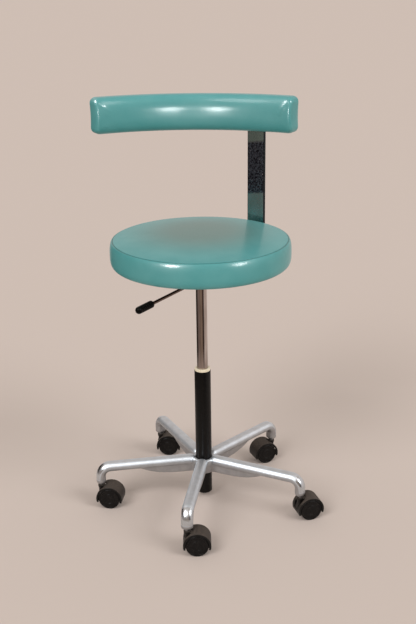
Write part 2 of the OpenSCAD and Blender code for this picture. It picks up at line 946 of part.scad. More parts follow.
module bar_screws()
    color("#9a9b9e")
    rotate([0, 0, bar_turn])
        bar_screw_places()
            union() {
                translate([0, 0, -bar_screw_len])
                    cylinder(r = screw_r, h = bar_screw_len, $fn = small_fn);
                cylinder(r1 = screw_head_r, r2 = screw_head_r * 0.8, h = screw_head_h * 0.8, $fn = small_fn);
            }

// Pad, about the centre of its curve

module about_pad_centre()
    translate([pad_centre_x, pad_centre_y, 0])
        children();

module pad_arc(r0, r1, half_z, mid_turn, half_turn)
    about_pad_centre()
        translate([0, 0, pad_mid_z])
            rotate([0, 0, mid_turn - half_turn])
                rotate_extrude(angle = 2 * half_turn, $fn = big_fn * 4)
                    translate([r0, -half_z])
                        square([r1 - r0, 2 * half_z]);

module pad_screw_places()
    about_pad_centre()
        for (a = [-1, 1], s = [-1, 1])
            rotate([0, 0, pad_bar_turn + a * pad_screw_turn])
                translate([bracket_r1, 0, pad_mid_z + s * pad_screw_z])
                    rotate([0, 90, 0])
                        children();

module pad_bracket()
    color("#2a2928")
    difference() {
        union() {
            pad_arc(bracket_r0, bracket_r1, bracket_half_z, pad_bar_turn, bracket_half);
            difference() {
                rotate([0, 0, bar_turn])
                    translate([bar_face_r - wedge_deep, -wedge_w / 2, pad_mid_z - bracket_half_z])
                        cube([wedge_deep, wedge_w, 2 * bracket_half_z]);
                about_pad_centre()
                    rod_z(bracket_r1 - bracket_t / 2, pad_z0, pad_z1, big_fn * 4);
            }
        }
        rotate([0, 0, bar_turn])
            translate([bar_face_r, -bar_w, pad_z0])
                cube([bar_w, 2 * bar_w, pad_h]);
        rotate([0, 0, bar_turn])
            bar_screw_places()
                cylinder(r = screw_r, h = 2 * bar_screw_len, center = true, $fn = small_fn);
        pad_screw_places()
            cylinder(r = wood_screw_r, h = 4 * bracket_t, center = true, $fn = small_fn);
    }

module pad_screws()
    color("#9a9b9e")
    pad_screw_places()
        union() {
            translate([0, 0, -pad_screw_len])
                cylinder(r = wood_screw_r, h = pad_screw_len, $fn = small_fn);
            cylinder(r1 = wood_screw_r * 2, r2 = wood_screw_r * 1.4, h = wood_screw_r, $fn = small_fn);
        }

module pad_board()
    color("#b98f5a")
    difference() {
        pad_arc(pad_board_r0, pad_board_r1, pad_board_half_z, pad_turn, pad_board_half);
        pad_screw_places()
            translate([0, 0, -pad_screw_len])
                cylinder(r = wood_screw_r, h = pad_screw_len, $fn = small_fn);
    }

// Signed power that keeps the sign of x
function spow(x, p) = sign(x) * pow(abs(x), p);

// Stations along the pad as [place along the curve, draw-in, share of the end pinch], for an inset i
function pad_stations(i) = concat(
    [for (k = [0 : pad_end_steps])
        let (a = 90 * k / pad_end_steps)
        [i - pad_half_len + pad_end_r * (1 - cos(a)), pad_end_r * (1 - sin(a)), 1 - k / pad_end_steps]],
    [for (k = [1 : pad_mid_steps - 1])
        [(pad_half_len - i - pad_end_r) * (2 * k / pad_mid_steps - 1), 0, 0]],
    [for (k = [pad_end_steps : -1 : 0])
        let (a = 90 * k / pad_end_steps)
        [pad_half_len - i - pad_end_r * (1 - cos(a)), pad_end_r * (1 - sin(a)), k / pad_end_steps - 1]]
);

// One point of the section: depth from the core line and height, at an angle t for a draw-in d
function section_point(t, d) =
    let (front = cos(t) < 0)
    let (power = front ? front_power : back_power)
    let (reach = front ? pad_depth * front_share : pad_depth * (1 - front_share))
    [(reach - d) * spow(cos(t), 2 / power), (pad_half_z - d) * spow(sin(t), 2 / power)];

function pad_ring(s, i) =
    [for (k = [0 : pad_fn - 1])
        let (q = section_point(360 * (k + 0.5) / pad_fn, s[1] + i))
        let (along = s[0] + s[2] * pad_pinch * (1 - pow(q[1] / pad_half_z, 2)))
        let (a = pad_turn - along / pad_core_r * 180 / PI)
        [(pad_core_r + q[0]) * cos(a), (pad_core_r + q[0]) * sin(a), pad_mid_z + q[1]]];

function ring_middle(s) =
    let (a = pad_turn - (s[0] + s[2] * pad_pinch) / pad_core_r * 180 / PI)
    [pad_core_r * cos(a), pad_core_r * sin(a), pad_mid_z];

module pad_form(i) {
    stations = pad_stations(i);
    rings = len(stations);
    points = concat(
        [for (s = stations) each pad_ring(s, i)],
        [ring_middle(stations[0]), ring_middle(stations[rings - 1])]
    );
    first = rings * pad_fn;
    last = first + 1;
    faces = concat(
        [for (j = [0 : rings - 2], k = [0 : pad_fn - 1])
            let (n = (k + 1) % pad_fn)
            each [
                [j * pad_fn + k, (j + 1) * pad_fn + k, (j + 1) * pad_fn + n],
                [j * pad_fn + k, (j + 1) * pad_fn + n, j * pad_fn + n]
            ]],
        [for (k = [0 : pad_fn - 1]) [first, k, (k + 1) % pad_fn]],
        [for (k = [0 : pad_fn - 1])
            [last, (rings - 1) * pad_fn + (k + 1) % pad_fn, (rings - 1) * pad_fn + k]]
    );
    about_pad_centre()
        polyhedron(points = points, faces = faces, convexity = 4);
}

module pad_foam()
    color("#e3d7a8")
    difference() {
        pad_form(cover_t + foam_gap);
        pad_arc(
            pad_board_r0 - foam_gap, pad_back_r, pad_board_half_z + foam_gap,
            pad_turn, pad_board_half + foam_gap_turn
        );
    }

module pad_cover()
    color("#4f8f8c")
    difference() {
        pad_form(0);
        pad_form(cover_t);
        pad_screw_places()
            cylinder(r = wood_screw_r + face_gap, h = 4 * pad_screw_len, center = true, $fn = small_fn);
    }

// Casters, each in a frame with the axle along Y, the stem's axis at -X and the floor at Z = 0

module caster_place(i)
    rotate([0, 0, arm_turn(i)])
        translate([base_r, 0, 0])
            rotate([0, 0, caster_trails[i] - arm_turn(i)])
                translate([caster_trail, 0, 0])
                    children();

// Hood over both wheels, cut off at its ends and cut away round the stem
module hood_shell()
    difference() {
        rod_y(hood_r, hood_w / 2, big_fn);
        rod_y(hood_in_r, hood_w, big_fn);
        for (s = [0, 1])
            mirror([s, 0, 0])
                rotate([0, hood_wrap, 0])
                    translate([0, -hood_w, -2 * hood_r])
                        cube([2 * hood_r, 2 * hood_w, 2 * hood_r]);
        translate([-caster_trail, 0, 0])
            rod_z(hood_relief_r, 0, 2 * hood_r);
    }

module caster_hood()
    difference() {
        union() {
            translate([0, 0, axle_z])
                hood_shell();
            difference() {
                translate([0, 0, axle_z])
                    rod_y(hood_in_r + hood_wall / 2, caster_web / 2, big_fn);
                translate([-2 * hood_r, -caster_web, web_foot - 2 * hood_r])
                    cube([4 * hood_r, 2 * caster_web, 2 * hood_r]);
            }
            translate([-caster_trail, 0, 0])
                rod_z(caster_web / 2 - run_fit, stem_foot - hood_gap, boss_top);
            translate([-caster_trail, 0, 0])
                rod_z(boss_r, boss_top - boss_collar_h, boss_top);
        }
        translate([-caster_trail, 0, 0])
            rod_z(stem_pivot_r + run_fit, stem_foot - face_gap, boss_top + cut);
        translate([0, 0, axle_z])
            rod_y(axle_r, caster_web);
    }

module caster_axle()
    translate([0, 0, axle_z])
        rod_y(axle_r, axle_half);

// One wheel as a section turned about its axle, with its outer face at wheel_out
module wheel_section()
    difference() {
        union() {
            ring_section(wheel_r, 0, wheel_in + tread_round, wheel_out - tread_round);
            ring_section(wheel_r - tread_round, 0, wheel_in, wheel_out);
            for (z = [wheel_in + tread_round, wheel_out - tread_round])
                translate([wheel_r - tread_round, z])
                    circle(r = tread_round, $fn = small_fn);
        }
        ring_section(axle_r + run_fit, 0, 0, axle_half + face_gap);
        ring_section(wheel_r - rim_wall, wheel_hub_r, 0, wheel_out - disc_wall - face_dish);
        ring_section(wheel_r - rim_wall, 0, wheel_out - face_dish, wheel_out + cut);
    }

module caster_wheel(side)
    translate([0, 0, axle_z])
        rotate([side * 90, 0, 0])
            rotate_extrude($fn = big_fn)
                wheel_section();

star_base();
stand_tube();
guide_bush();
caster_stems();
tube_end_plate();
lower_race();
ball_cage();
bearing_balls();
upper_race();
bump_stop();
piston_rod();
rod_clip();
piston();
gas_cylinder();
rod_guide();
valve_block();
valve_button();
column_housing();
seat_plate();
seat_screws();
tee_nuts();
seat_board();
seat_foam();
seat_cover_band();
seat_cover_top();
dust_cover();
lever_pin();
lever_rod();
lever_grip();
collar_ring();
swing_bush();
swing_collar();
collar_bolts();
support_bar();
bar_screws();
pad_bracket();
pad_screws();
pad_board();
pad_foam();
pad_cover();

for (i = [0 : arm_count - 1]) {
    caster = str("caster_", CASTERS[i]);
    color("#3a3532") caster_place(i) caster_hood();
    color("#a3a4a7") caster_place(i) caster_axle();
    color("#161514") caster_place(i) caster_wheel(1);
    color("#161514") caster_place(i) caster_wheel(-1);
}
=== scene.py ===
"""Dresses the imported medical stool: cast base, column, casters, seat, lever, swinging bar and pad."""

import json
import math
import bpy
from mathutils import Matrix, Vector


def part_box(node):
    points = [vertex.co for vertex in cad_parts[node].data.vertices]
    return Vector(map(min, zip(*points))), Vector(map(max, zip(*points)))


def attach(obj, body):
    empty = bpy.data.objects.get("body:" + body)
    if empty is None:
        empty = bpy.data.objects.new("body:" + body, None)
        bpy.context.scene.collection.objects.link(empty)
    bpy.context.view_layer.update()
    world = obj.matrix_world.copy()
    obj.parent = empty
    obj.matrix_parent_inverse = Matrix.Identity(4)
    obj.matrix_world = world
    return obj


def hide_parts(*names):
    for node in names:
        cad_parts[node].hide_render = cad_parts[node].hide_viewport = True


bl_info = {
    "name": "Medical stool",
    "version": (1, 0, 0),
    "blender": (4, 5, 0),
    "location": "3D View > Sidebar > Stool",
    "description": "Dresses the medical stool's packed model with finished metal, plastic and upholstery",
    "category": "Object",
}

import bmesh
import bpy
from bpy.props import FloatProperty, FloatVectorProperty, IntProperty, PointerProperty
from mathutils import Matrix, Vector, noise

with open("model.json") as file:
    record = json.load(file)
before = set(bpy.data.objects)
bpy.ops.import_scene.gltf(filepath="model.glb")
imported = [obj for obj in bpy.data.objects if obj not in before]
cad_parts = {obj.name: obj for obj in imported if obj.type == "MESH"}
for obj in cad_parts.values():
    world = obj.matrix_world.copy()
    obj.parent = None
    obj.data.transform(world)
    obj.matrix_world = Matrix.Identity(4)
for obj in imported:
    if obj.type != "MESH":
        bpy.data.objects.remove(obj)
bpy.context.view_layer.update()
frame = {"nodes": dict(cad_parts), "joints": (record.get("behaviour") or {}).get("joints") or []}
JOINTS = {joint["name"]: joint for joint in frame["joints"]}

MM = 0.001
FULL_TURN = 2 * math.pi
Z_AXIS = Vector((0, 0, 1))
CASTERS = ("left", "front", "right", "back_right", "back_left")

# Directions of the lever and of the bar about the column, as the stool stood
LEVER_TURN = math.radians(235.5)
BAR_TURN = math.radians(52.5)
BAR_ACROSS = (-math.sin(BAR_TURN), math.cos(BAR_TURN), 0)

# Photograph's frame, and the camera that was fitted to it
FRAME_HEIGHT_PX = 624
FOCAL_PX = 950
CAMERA_SENSOR = 36
CAMERA_BACK = 2.003
CAMERA_HEIGHT = 1.185
CAMERA_YAW = math.radians(0.41)
CAMERA_PITCH = math.radians(19.79)
CAMERA_ROLL = math.radians(-0.75)


# Colours and nodes


def linear(hex_colour):
    """Turns an sRGB hex colour to the linear RGBA that shader sockets take."""
    parts = [int(hex_colour[k:k + 2], 16) / 255 for k in (1, 3, 5)]
    return tuple(c / 12.92 if c <= 0.04045 else ((c + 0.055) / 1.055) ** 2.4 for c in parts) + (1,)


def set_sockets(shader_node, sockets):
    """Sets a node's inputs, by key or in their order, each to a value or to the output that feeds it."""
    keyed = sockets.items() if isinstance(sockets, dict) else enumerate(sockets)
    for key, value in keyed:
        socket = shader_node.inputs[key]
        if isinstance(value, bpy.types.NodeSocket):
            shader_node.id_data.links.new(value, socket)
        else:
            socket.default_value = value


def add_node(owner, kind, sockets=(), output=0, **settings):
    """Adds a shader node with its settings and its inputs, and gives one of its outputs."""
    shader_node = owner.node_tree.nodes.new("ShaderNode" + kind)
    for key, value in settings.items():
        setattr(shader_node, key, value)
    set_sockets(shader_node, sockets)
    return shader_node.outputs[output]


def new_material(name):
    """A material with only a shader and its output, and that shader."""
    material = bpy.data.materials.new(name)
    material.use_nodes = True
    return material, material.node_tree.nodes["Principled BSDF"]


def speckle(material, size, detail=3, stretch=(1, 1, 1)):
    """Noise with features of a size in metres, from 0 to 1."""
    place = add_node(material, "TexCoord", output="Object")
    scaled = add_node(material, "Mapping", {"Vector": place, "Scale": stretch})
    return add_node(material, "TexNoise", {"Vector": scaled, "Scale": 1 / size, "Detail": detail})


def cells(material, size, sockets, feature="F1"):
    """Cells of a size in metres, as the distance from the middle of each."""
    place = add_node(material, "TexCoord", output="Object")
    return add_node(material, "TexVoronoi", {"Vector": place, "Scale": 1 / size, **sockets}, feature=feature)


def blended(owner, pattern, low, high, first, second):
    """Passes from one colour to another while a pattern goes from low to high."""
    share = add_node(owner, "MapRange", (pattern, low, high))
    return add_node(owner, "Mix", {0: share, 6: first, 7: second}, 2, data_type="RGBA")


# Finishes
# A Map Range node takes the value, the two ends of its range and the two ends of the new one

# How far the arms' tops are buffed, where a bend is 1 and the cast skin is 0
SATIN = 0.7


def polished_casting(polished, cast):
    """Cast aluminium: satin along the tops of the arms, brighter at the bends, grainy and grey below."""
    material, shader = new_material("buffed_cast_aluminium")
    buffed = add_node(material, "Attribute", output="Fac", attribute_name="buffed")
    blotch = speckle(material, 14 * MM)
    skin = blended(material, blotch, 0.3, 0.75, cast, linear("#A3A3A5"))
    face = blended(material, blotch, 0.3, 0.75, polished, linear("#C8CED3"))
    satin = add_node(material, "MapRange", (buffed, 0, SATIN))
    dull = add_node(material, "MapRange", (buffed, 0, SATIN, 0.52, 0))
    shine = add_node(material, "MapRange", (buffed, SATIN, 1, 0.54, 0.24))
    unbuffed = add_node(material, "MapRange", (buffed, 0, SATIN, 1, 0))
    grain = add_node(material, "Math", (speckle(material, 1.1 * MM), unbuffed), operation="MULTIPLY")
    set_sockets(shader, {
        "Base Color": blended(material, buffed, 0, SATIN, skin, face),
        "Metallic": 1,
        "Roughness": add_node(material, "Math", (shine, satin, dull), operation="MULTIPLY_ADD"),
        "Normal": add_node(material, "Bump", {"Height": grain, "Distance": 0.2 * MM}),
    })
    return material


def tube_enamel(colour):
    """Baked enamel on steel tube: satin black with a faint orange peel and a little dust."""
    material, shader = new_material("satin_black_enamel")
    dust = add_node(material, "MapRange", (speckle(material, 6 * MM), 0.55, 0.85, 0, 0.25))
    peel = speckle(material, 1.6 * MM, detail=1)
    set_sockets(shader, {
        "Base Color": blended(material, dust, 0, 1, colour, linear("#2E2A27")),
        "Roughness": add_node(material, "MapRange", (peel, 0.3, 0.7, 0.26, 0.36)),
        "Specular IOR Level": 0.18,
        "Normal": add_node(material, "Bump", {"Height": peel, "Distance": 0.04 * MM}),
    })
    return material


def moulded_plastic(name, colour, second, roughness, texture_depth, shine=0.5):
    """Injection-moulded plastic: an even fine texture with a slight change of tone."""
    material, shader = new_material(name)
    texture = speckle(material, 0.9 * MM, detail=2)
    set_sockets(shader, {
        "Base Color": blended(material, speckle(material, 9 * MM), 0.35, 0.7, colour, second),
        "Roughness": add_node(
            material, "MapRange", (texture, 0.3, 0.7, roughness * 0.85, roughness * 1.15)
        ),
        "Specular IOR Level": shine,
        "Normal": add_node(material, "Bump", {"Height": texture, "Distance": texture_depth}),
    })
    return material


def hood_nylon(colour, dust_colour, glossy_colour):
    """Moulded nylon hood: dusty on its upper faces, and rubbed glossy on the rings of its side faces."""
    material, shader = new_material("dusty_moulded_nylon")
    patch = add_node(material, "MapRange", (speckle(material, 5 * MM), 0.3, 0.65, 0.45, 1))
    dust = add_node(material, "Attribute", output="Fac", attribute_name="dust")
    lying = add_node(material, "Math", (dust, patch), operation="MULTIPLY")
    face = add_node(material, "Attribute", output="Fac", attribute_name="face")
    body = blended(material, lying, 0, 1, colour, dust_colour)
    matt = add_node(material, "MapRange", (lying, 0, 1, 0.42, 0.75))
    texture = speckle(material, 0.8 * MM, detail=2)
    set_sockets(shader, {
        "Base Color": blended(material, face, 0, 1, body, glossy_colour),
        "Roughness": add_node(material, "Mix", {0: face, 2: matt, 3: 0.2}),
        "Specular IOR Level": 0.3,
        "Normal": add_node(material, "Bump", {"Height": texture, "Distance": 0.05 * MM}),
    })
    return material


def wheel_nylon(colour, scuff_colour):
    """Glossy black nylon wheel, with fine scuffs and floor dust in them."""
    material, shader = new_material("scuffed_wheel_nylon")
    scuff = speckle(material, 2.2 * MM, detail=5)
    scratched = add_node(material, "MapRange", (scuff, 0.52, 0.72))
    smeared = add_node(material, "MapRange", (speckle(material, 11 * MM), 0.35, 0.7))
    wear_and_painted_shade = add_node(material, "Math", (scratched, smeared), operation="MULTIPLY")
    set_sockets(shader, {
        "Base Color": blended(material, wear_and_painted_shade, 0, 1, colour, scuff_colour),
        "Roughness": add_node(material, "MapRange", (scuff, 0.3, 0.75, 0.2, 0.5)),
        "Specular IOR Level": 0.22,
        "Normal": add_node(material, "Bump", {"Height": scuff, "Distance": 0.05 * MM}),
    })
    return material


def chrome_plate(name, colour, haze_colour, stain_size, roughness):
    """Aged chrome plate: bright, with a thin brown haze and fine wiping marks along it."""
    material, shader = new_material(name)
    stain = speckle(material, stain_size, detail=3, stretch=(1, 1, 0.15))
    wiping = speckle(material, 1.2 * MM, detail=2, stretch=(1, 1, 0.06))
    set_sockets(shader, {
        "Base Color": blended(material, stain, 0.35, 0.7, colour, haze_colour),
        "Metallic": 1,
        "Roughness": add_node(material, "MapRange", (wiping, 0.3, 0.7, roughness * 0.7, roughness * 1.3)),
    })
    return material


def chrome_with_painted_reflections(clean, painted_dark_reflection, painted_dark_from, painted_dark_to, half_width):
    """Old chrome plate, pitted: painted dark reflection above the seat, painted pad reflection at its top,
    painted shade on its edges.
    """
    material, shader = new_material("pitted_chrome_plate")
    place = add_node(material, "TexCoord", output="Object")
    across = add_node(material, "VectorMath", (place, BAR_ACROSS), "Value", operation="DOT_PRODUCT")
    ragged = add_node(material, "MapRange", (speckle(material, 5 * MM), 0.3, 0.7, -1.5 * MM, 1.5 * MM))
    slanted = add_node(material, "Math", (across, PAINTED_DARK_SLANT, ragged), operation="MULTIPLY_ADD")
    level = add_node(material, "SeparateXYZ", (place,), "Z")
    height = add_node(material, "Math", (level, slanted), operation="ADD")
    above = add_node(material, "MapRange", (height, painted_dark_from, painted_dark_from + 4 * MM))
    below = add_node(material, "MapRange", (height, painted_dark_to, painted_dark_to + 6 * MM, 1, 0))
    # Between these heights the plate shows a painted dark reflection of a dim room, with pits and bright
    # flecks in it
    painted_dark_share = add_node(material, "Math", (above, below), operation="MULTIPLY")
    pits = speckle(material, 3.2 * MM, detail=5)
    pitted_painted_dark = blended(material, pits, 0.42, 0.6, painted_dark_reflection, linear("#6C7684"))
    flecks = speckle(material, 3 * MM, detail=4)
    flecked = blended(material, flecks, 0.66, 0.74, pitted_painted_dark, linear("#D5DCE2"))
    bright = blended(material, speckle(material, 16 * MM), 0.4, 0.7, clean, linear("#9DA3A0"))
    # At the top, behind the pad, the plate is painted greenish grey as a painted reflection of the pad
    painted_pad_reflection = blended(material, below, 0, 1, linear("#93ACA6"), bright)
    front = blended(material, painted_dark_share, 0, 1, painted_pad_reflection, flecked)
    # The bar's narrow edges are painted dark, as painted shade
    beside = add_node(material, "Math", (across,), operation="ABSOLUTE")
    edge = half_width - 0.7 * MM
    set_sockets(shader, {
        "Base Color": blended(material, beside, edge - 0.7 * MM, edge, front, linear("#2A3033")),
        "Metallic": 1,
        "Roughness": add_node(material, "MapRange", (pits, 0.35, 0.65, 0.1, 0.28)),
        "Normal": add_node(material, "Bump", {
            "Height": add_node(material, "MapRange", (pits, 0.54, 0.64)), "Distance": 0.06 * MM,
        }),
    })
    return material


def plated_steel(name, colour, roughness):
    """Zinc-plated or ground steel: a grey metal with a soft, slightly cloudy shine."""
    material, shader = new_material(name)
    cloud = speckle(material, 5 * MM)
    set_sockets(shader, {
        "Base Color": blended(material, cloud, 0.35, 0.7, colour, linear("#83858A")),
        "Metallic": 1,
        "Roughness": add_node(material, "MapRange", (cloud, 0.3, 0.7, roughness * 0.8, roughness * 1.2)),
    })
    return material


def leatherette(colour, light_colour, seam_shade_colour, shadow_and_sheen_colour):
    """Vinyl leatherette: a pressed grain under a glossy skin, with painted shadow and sheen on the crown and
    painted shade in the seam.
    """
    material, shader = new_material("teal_leatherette")
    # A grain of 1.6 mm shows in the render, where the real one, near 1 mm, would not
    grain = cells(material, 1.6 * MM, {"Smoothness": 0.6}, feature="SMOOTH_F1")
    wear = add_node(material, "Attribute", output="Fac", attribute_name="wear")
    crease = add_node(material, "Attribute", output="Fac", attribute_name="crease")
    faded = blended(material, speckle(material, 60 * MM), 0.35, 0.7, colour, light_colour)
    # Mixes in the crown's painted shadow from the pad and painted sheen
    wear_and_painted_shade = blended(material, wear, 0, 1, faded, shadow_and_sheen_colour)
    swell = speckle(material, 28 * MM, detail=2)
    skin = add_node(material, "Bump", {"Height": swell, "Distance": 0.05 * MM})
    set_sockets(shader, {
        # Painted shade in the seam's groove
        "Base Color": blended(material, crease, 0, 1, wear_and_painted_shade, seam_shade_colour),
        "Roughness": add_node(material, "MapRange", (grain, 0.1, 0.7, 0.42, 0.5)),
        "Specular IOR Level": 0.2,
        "Coat Weight": 0.45,
        "Coat Roughness": 0.19,
        "Normal": add_node(material, "Bump", {"Height": grain, "Distance": 0.01 * MM, "Normal": skin}),
        "Coat Normal": skin,
    })
    return material


def open_foam(colour):
    """Open-cell foam: matt, with cells of about 1.5 mm."""
    material, shader = new_material("open_cell_foam")
    pores = cells(material, 1.5 * MM, {})
    set_sockets(shader, {
        "Base Color": blended(material, pores, 0.1, 0.6, linear("#B9AA78"), colour),
        "Roughness": 0.95,
        "Normal": add_node(material, "Bump", {"Height": pores, "Distance": 0.4 * MM}),
    })
    return material


def birch_plywood(colour, vein_colour):
    """Birch plywood: pale veneer with long soft veins."""
    material, shader = new_material("birch_plywood")
    vein = speckle(material, 3 * MM, detail=4, stretch=(0.05, 1, 1))
    set_sockets(shader, {
        "Base Color": blended(material, vein, 0.35, 0.7, colour, vein_colour),
        "Roughness": 0.6,
        "IOR": 1.5,
        "Normal": add_node(material, "Bump", {"Height": vein, "Distance": 0.1 * MM}),
    })
    return material


def spun_cloth(colour):
    """Black non-woven cloth: matt fibres in a pressed dot pattern of about 2 mm."""
    material, shader = new_material("non_woven_cloth")
    dots = cells(material, 2 * MM, {"Randomness": 0.2})
    set_sockets(shader, {
        "Base Color": blended(material, dots, 0.1, 0.5, colour, linear("#3A3A3B")),
        "Roughness": 0.9,
        "Sheen Weight": 0.2,
        "Normal": add_node(material, "Bump", {"Height": dots, "Distance": 0.15 * MM}),
    })
    return material


# Settings


def colour_setting(name, description, hex_colour):
    """A colour that a user can change."""
    return FloatVectorProperty(
        name=name, description=description, default=linear(hex_colour), size=4, subtype="COLOR"
    )


def length_setting(name, description, millimetres):
    """A length that a user can change."""
    return FloatProperty(name=name, description=description, default=millimetres * MM, unit="LENGTH")


# Shapes


def rounded(corners, closed=True, steps=6):
    """Turns corners (x, y, radius) into a path with an arc at each corner that has a radius."""
    path = []
    count = len(corners)
    for index, (x, y, radius) in enumerate(corners):
        corner = Vector((x, y))
        at_end = not closed and index in (0, count - 1)
        if radius == 0 or at_end:
            path.append(corner)
            continue
        before = (Vector(corners[index - 1][:2]) - corner).normalized()
        after = (Vector(corners[(index + 1) % count][:2]) - corner).normalized()
        half = before.angle(after) / 2
        centre = corner + (before + after).normalized() * radius / math.sin(half)
        start = corner + before * radius / math.tan(half) - centre
        swing = start.angle_signed(corner + after * radius / math.tan(half) - centre)
        for step in range(steps + 1):
            path.append(centre + Matrix.Rotation(-swing * step / steps, 2) @ start)
    return path


def turned(outline, segments, axis=Z_AXIS, closed=True):
    """Turns an outline of (radius, height) points about an axis through the origin into a solid."""
    bm = bmesh.new()
    turn = Z_AXIS.rotation_difference(axis).to_matrix()
    ring = [bm.verts.new(turn @ Vector((point[0], 0, point[1]))) for point in outline]
    pairs = list(zip(ring, ring[1:]))
    if closed:
        pairs.append((ring[-1], ring[0]))
    edges = [bm.edges.new(pair) for pair in pairs]
    bmesh.ops.spin(
        bm, geom=ring + edges, cent=(0, 0, 0), axis=axis, angle=FULL_TURN, steps=segments, use_merge=True
    )
    bmesh.ops.remove_doubles(bm, verts=bm.verts, dist=0.001 * MM)
    bmesh.ops.recalc_face_normals(bm, faces=bm.faces)
    return bm


def pipe_outline(inner, outer, low, high, edge):
    """Outline of a pipe whose four edges are rounded."""
    return rounded([(inner, low, edge), (outer, low, edge), (outer, high, edge), (inner, high, edge)])


def node_copy(node):
    """A CAD node's mesh as one merged solid."""
    bm = bmesh.new()
    bm.from_mesh(frame["nodes"][node].data)
    bmesh.ops.remove_doubles(bm, verts=bm.verts, dist=0.002 * MM)
    return bm


def mesh_of(bm, name):
    """Turns a bmesh into a mesh."""
    mesh = bpy.data.meshes.new(name)
    bm.to_mesh(mesh)
    bm.free()
    return mesh


def put_in_scene(name, data):
    """A new object in the scene."""
    thing = bpy.data.objects.new(name, data)
    bpy.context.scene.collection.objects.link(thing)
    return thing


def evaluated_shape(thing):
    """Takes an object out of the scene, and gives the shape that it had there as a bmesh."""
    result = thing.evaluated_get(bpy.context.evaluated_depsgraph_get())
    bm = bmesh.new()
    bm.from_mesh(result.to_mesh())
    result.to_mesh_clear()
    bpy.data.objects.remove(thing)
    return bm


def merged(first, second):
    """Puts a second bmesh into the first."""
    mesh = mesh_of(second, "part")
    first.from_mesh(mesh)
    bpy.data.meshes.remove(mesh)
    return first


def cast_from(bm, voxel, rounds):
    """Makes the same solid from even faces, its edges and corners softened as a mould leaves them."""
    mesh = mesh_of(bm, "blank")
    blank = put_in_scene("blank", mesh)
    remesh = blank.modifiers.new("even_faces", "REMESH")
    remesh.mode = "VOXEL"
    remesh.voxel_size = voxel
    even = evaluated_shape(blank)
    bpy.data.meshes.remove(mesh)
    for _ in range(rounds):
        bmesh.ops.smooth_vert(
            even, verts=even.verts, factor=0.5, use_axis_x=True, use_axis_y=True, use_axis_z=True
        )
    return even


def store(mesh, name, value_at):
    """Stores a number at every vertex, worked out from its place and normal."""
    layer = mesh.attributes.new(name, "FLOAT", "POINT")
    for vertex, item in zip(mesh.vertices, layer.data):
        item.value = value_at(vertex.co, vertex.normal)


def finish_piece(bm, name, material, body, replaced, sharp=40):
    """Turns a bmesh into a finished piece that rides on its body and stands for its CAD nodes."""
    mesh = mesh_of(bm, name)
    mesh.shade_smooth()
    mesh.set_sharp_from_angle(angle=math.radians(sharp))
    mesh.materials.append(material)
    piece = put_in_scene(name, mesh)
    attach(piece, body)
    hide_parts(*replaced)
    return piece


def give_material(nodes, material):
    """Gives CAD nodes that keep their shape a better material."""
    for name in nodes:
        node = frame["nodes"][name]
        node.data.materials.clear()
        node.data.materials.append(material)


def ramp(value, low, high):
    """A smooth step from 0 at low to 1 at high."""
    share = min(1, max(0, (value - low) / (high - low)))
    return share * share * (3 - 2 * share)


def joint_place(name):
    """Where a joint's axis passes, and its direction."""
    joint = JOINTS[name]
    return Vector(joint["pos_m"]), Vector(joint["axis"]).normalized()


# Star base


class StoolBaseSettings(bpy.types.PropertyGroup):
    """Finish of the cast base"""

    voxel: length_setting("Face size", "Size of the faces of the casting", 1.5)
    rounds: IntProperty(name="Softening", description="How far its edges are softened", default=7)
    polished: colour_setting("Polished metal", "Colour of the buffed tops of the arms", "#D3DBE2")
    cast: colour_setting("Cast skin", "Colour of the metal as it was cast", "#B5B5B6")


BUFF_FROM = 24 * MM
BUFF_TO = 15 * MM
# Distances inside the circle of the stems, and heights, between which the bends come to be buffed
BEND_FROM = 22 * MM
BEND_TO = 8 * MM
LEG_FROM = 66 * MM
LEG_TO = 71 * MM


def build_star_base(settings):
    """Casting with softened inner corners, buffed along the tops of the arms, the bends and the legs."""
    arms = [math.atan2(place.y, place.x) for place in (joint_place(f"swivel_{c}")[0] for c in CASTERS)]
    stem_radius = joint_place("swivel_front")[0].length
    arm_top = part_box("star_base")[1].z
    coarse = 1
    casting = cast_from(node_copy("star_base"), settings.voxel * coarse, settings.rounds)

    def buffed(place, normal):
        turn = min(arms, key=lambda a: -math.cos(math.atan2(place.y, place.x) - a))
        outward = Vector((math.cos(turn), math.sin(turn), 0))
        along = place.dot(outward)
        upper = ramp(place.z, arm_top - BUFF_FROM, arm_top - BUFF_TO)
        ridge = SATIN * upper * ramp(normal.z, -0.05, 0.35)
        bend = ramp(along, stem_radius - BEND_FROM, stem_radius - BEND_TO) * ramp(place.z, LEG_FROM, LEG_TO)
        outer = bend * ramp(normal.dot(outward) + normal.z, 0.05, 0.45)
        side = 0.5 * SATIN * upper * ramp(abs(normal.z), 0.9, 0.2)
        return max(ridge, outer, side)

    material = polished_casting(settings.polished, settings.cast)
    piece = finish_piece(casting, "star_casting", material, "base", ["star_base"], 70)
    store(piece.data, "buffed", buffed)


class STOOL_OT_star_base(bpy.types.Operator):
    """Cast aluminium star base with buffed arms"""

    bl_idname = "stool.star_base"
    bl_label = "Star base"

    def execute(self, context):
        build_star_base(context.scene.stool_base)
        return {"FINISHED"}


# Column


class StoolColumnSettings(bpy.types.PropertyGroup):
    """Finish of the column"""

    enamel: colour_setting("Tube enamel", "Colour of the column tube", "#0C0B0A")
    chrome: colour_setting("Cylinder chrome", "Colour of the gas cylinder's plate", "#C2B7B2")
    bush: colour_setting("Guide bush", "Colour of the guide bush's plastic", "#F1E7D0")


COLUMN_SEGMENTS = 96
TUBE_WALL = 2 * MM
CYLINDER_WALL = 1.5 * MM
FLANGE_EDGE = 1.2 * MM
SLIDING_GAP = 0.05 * MM


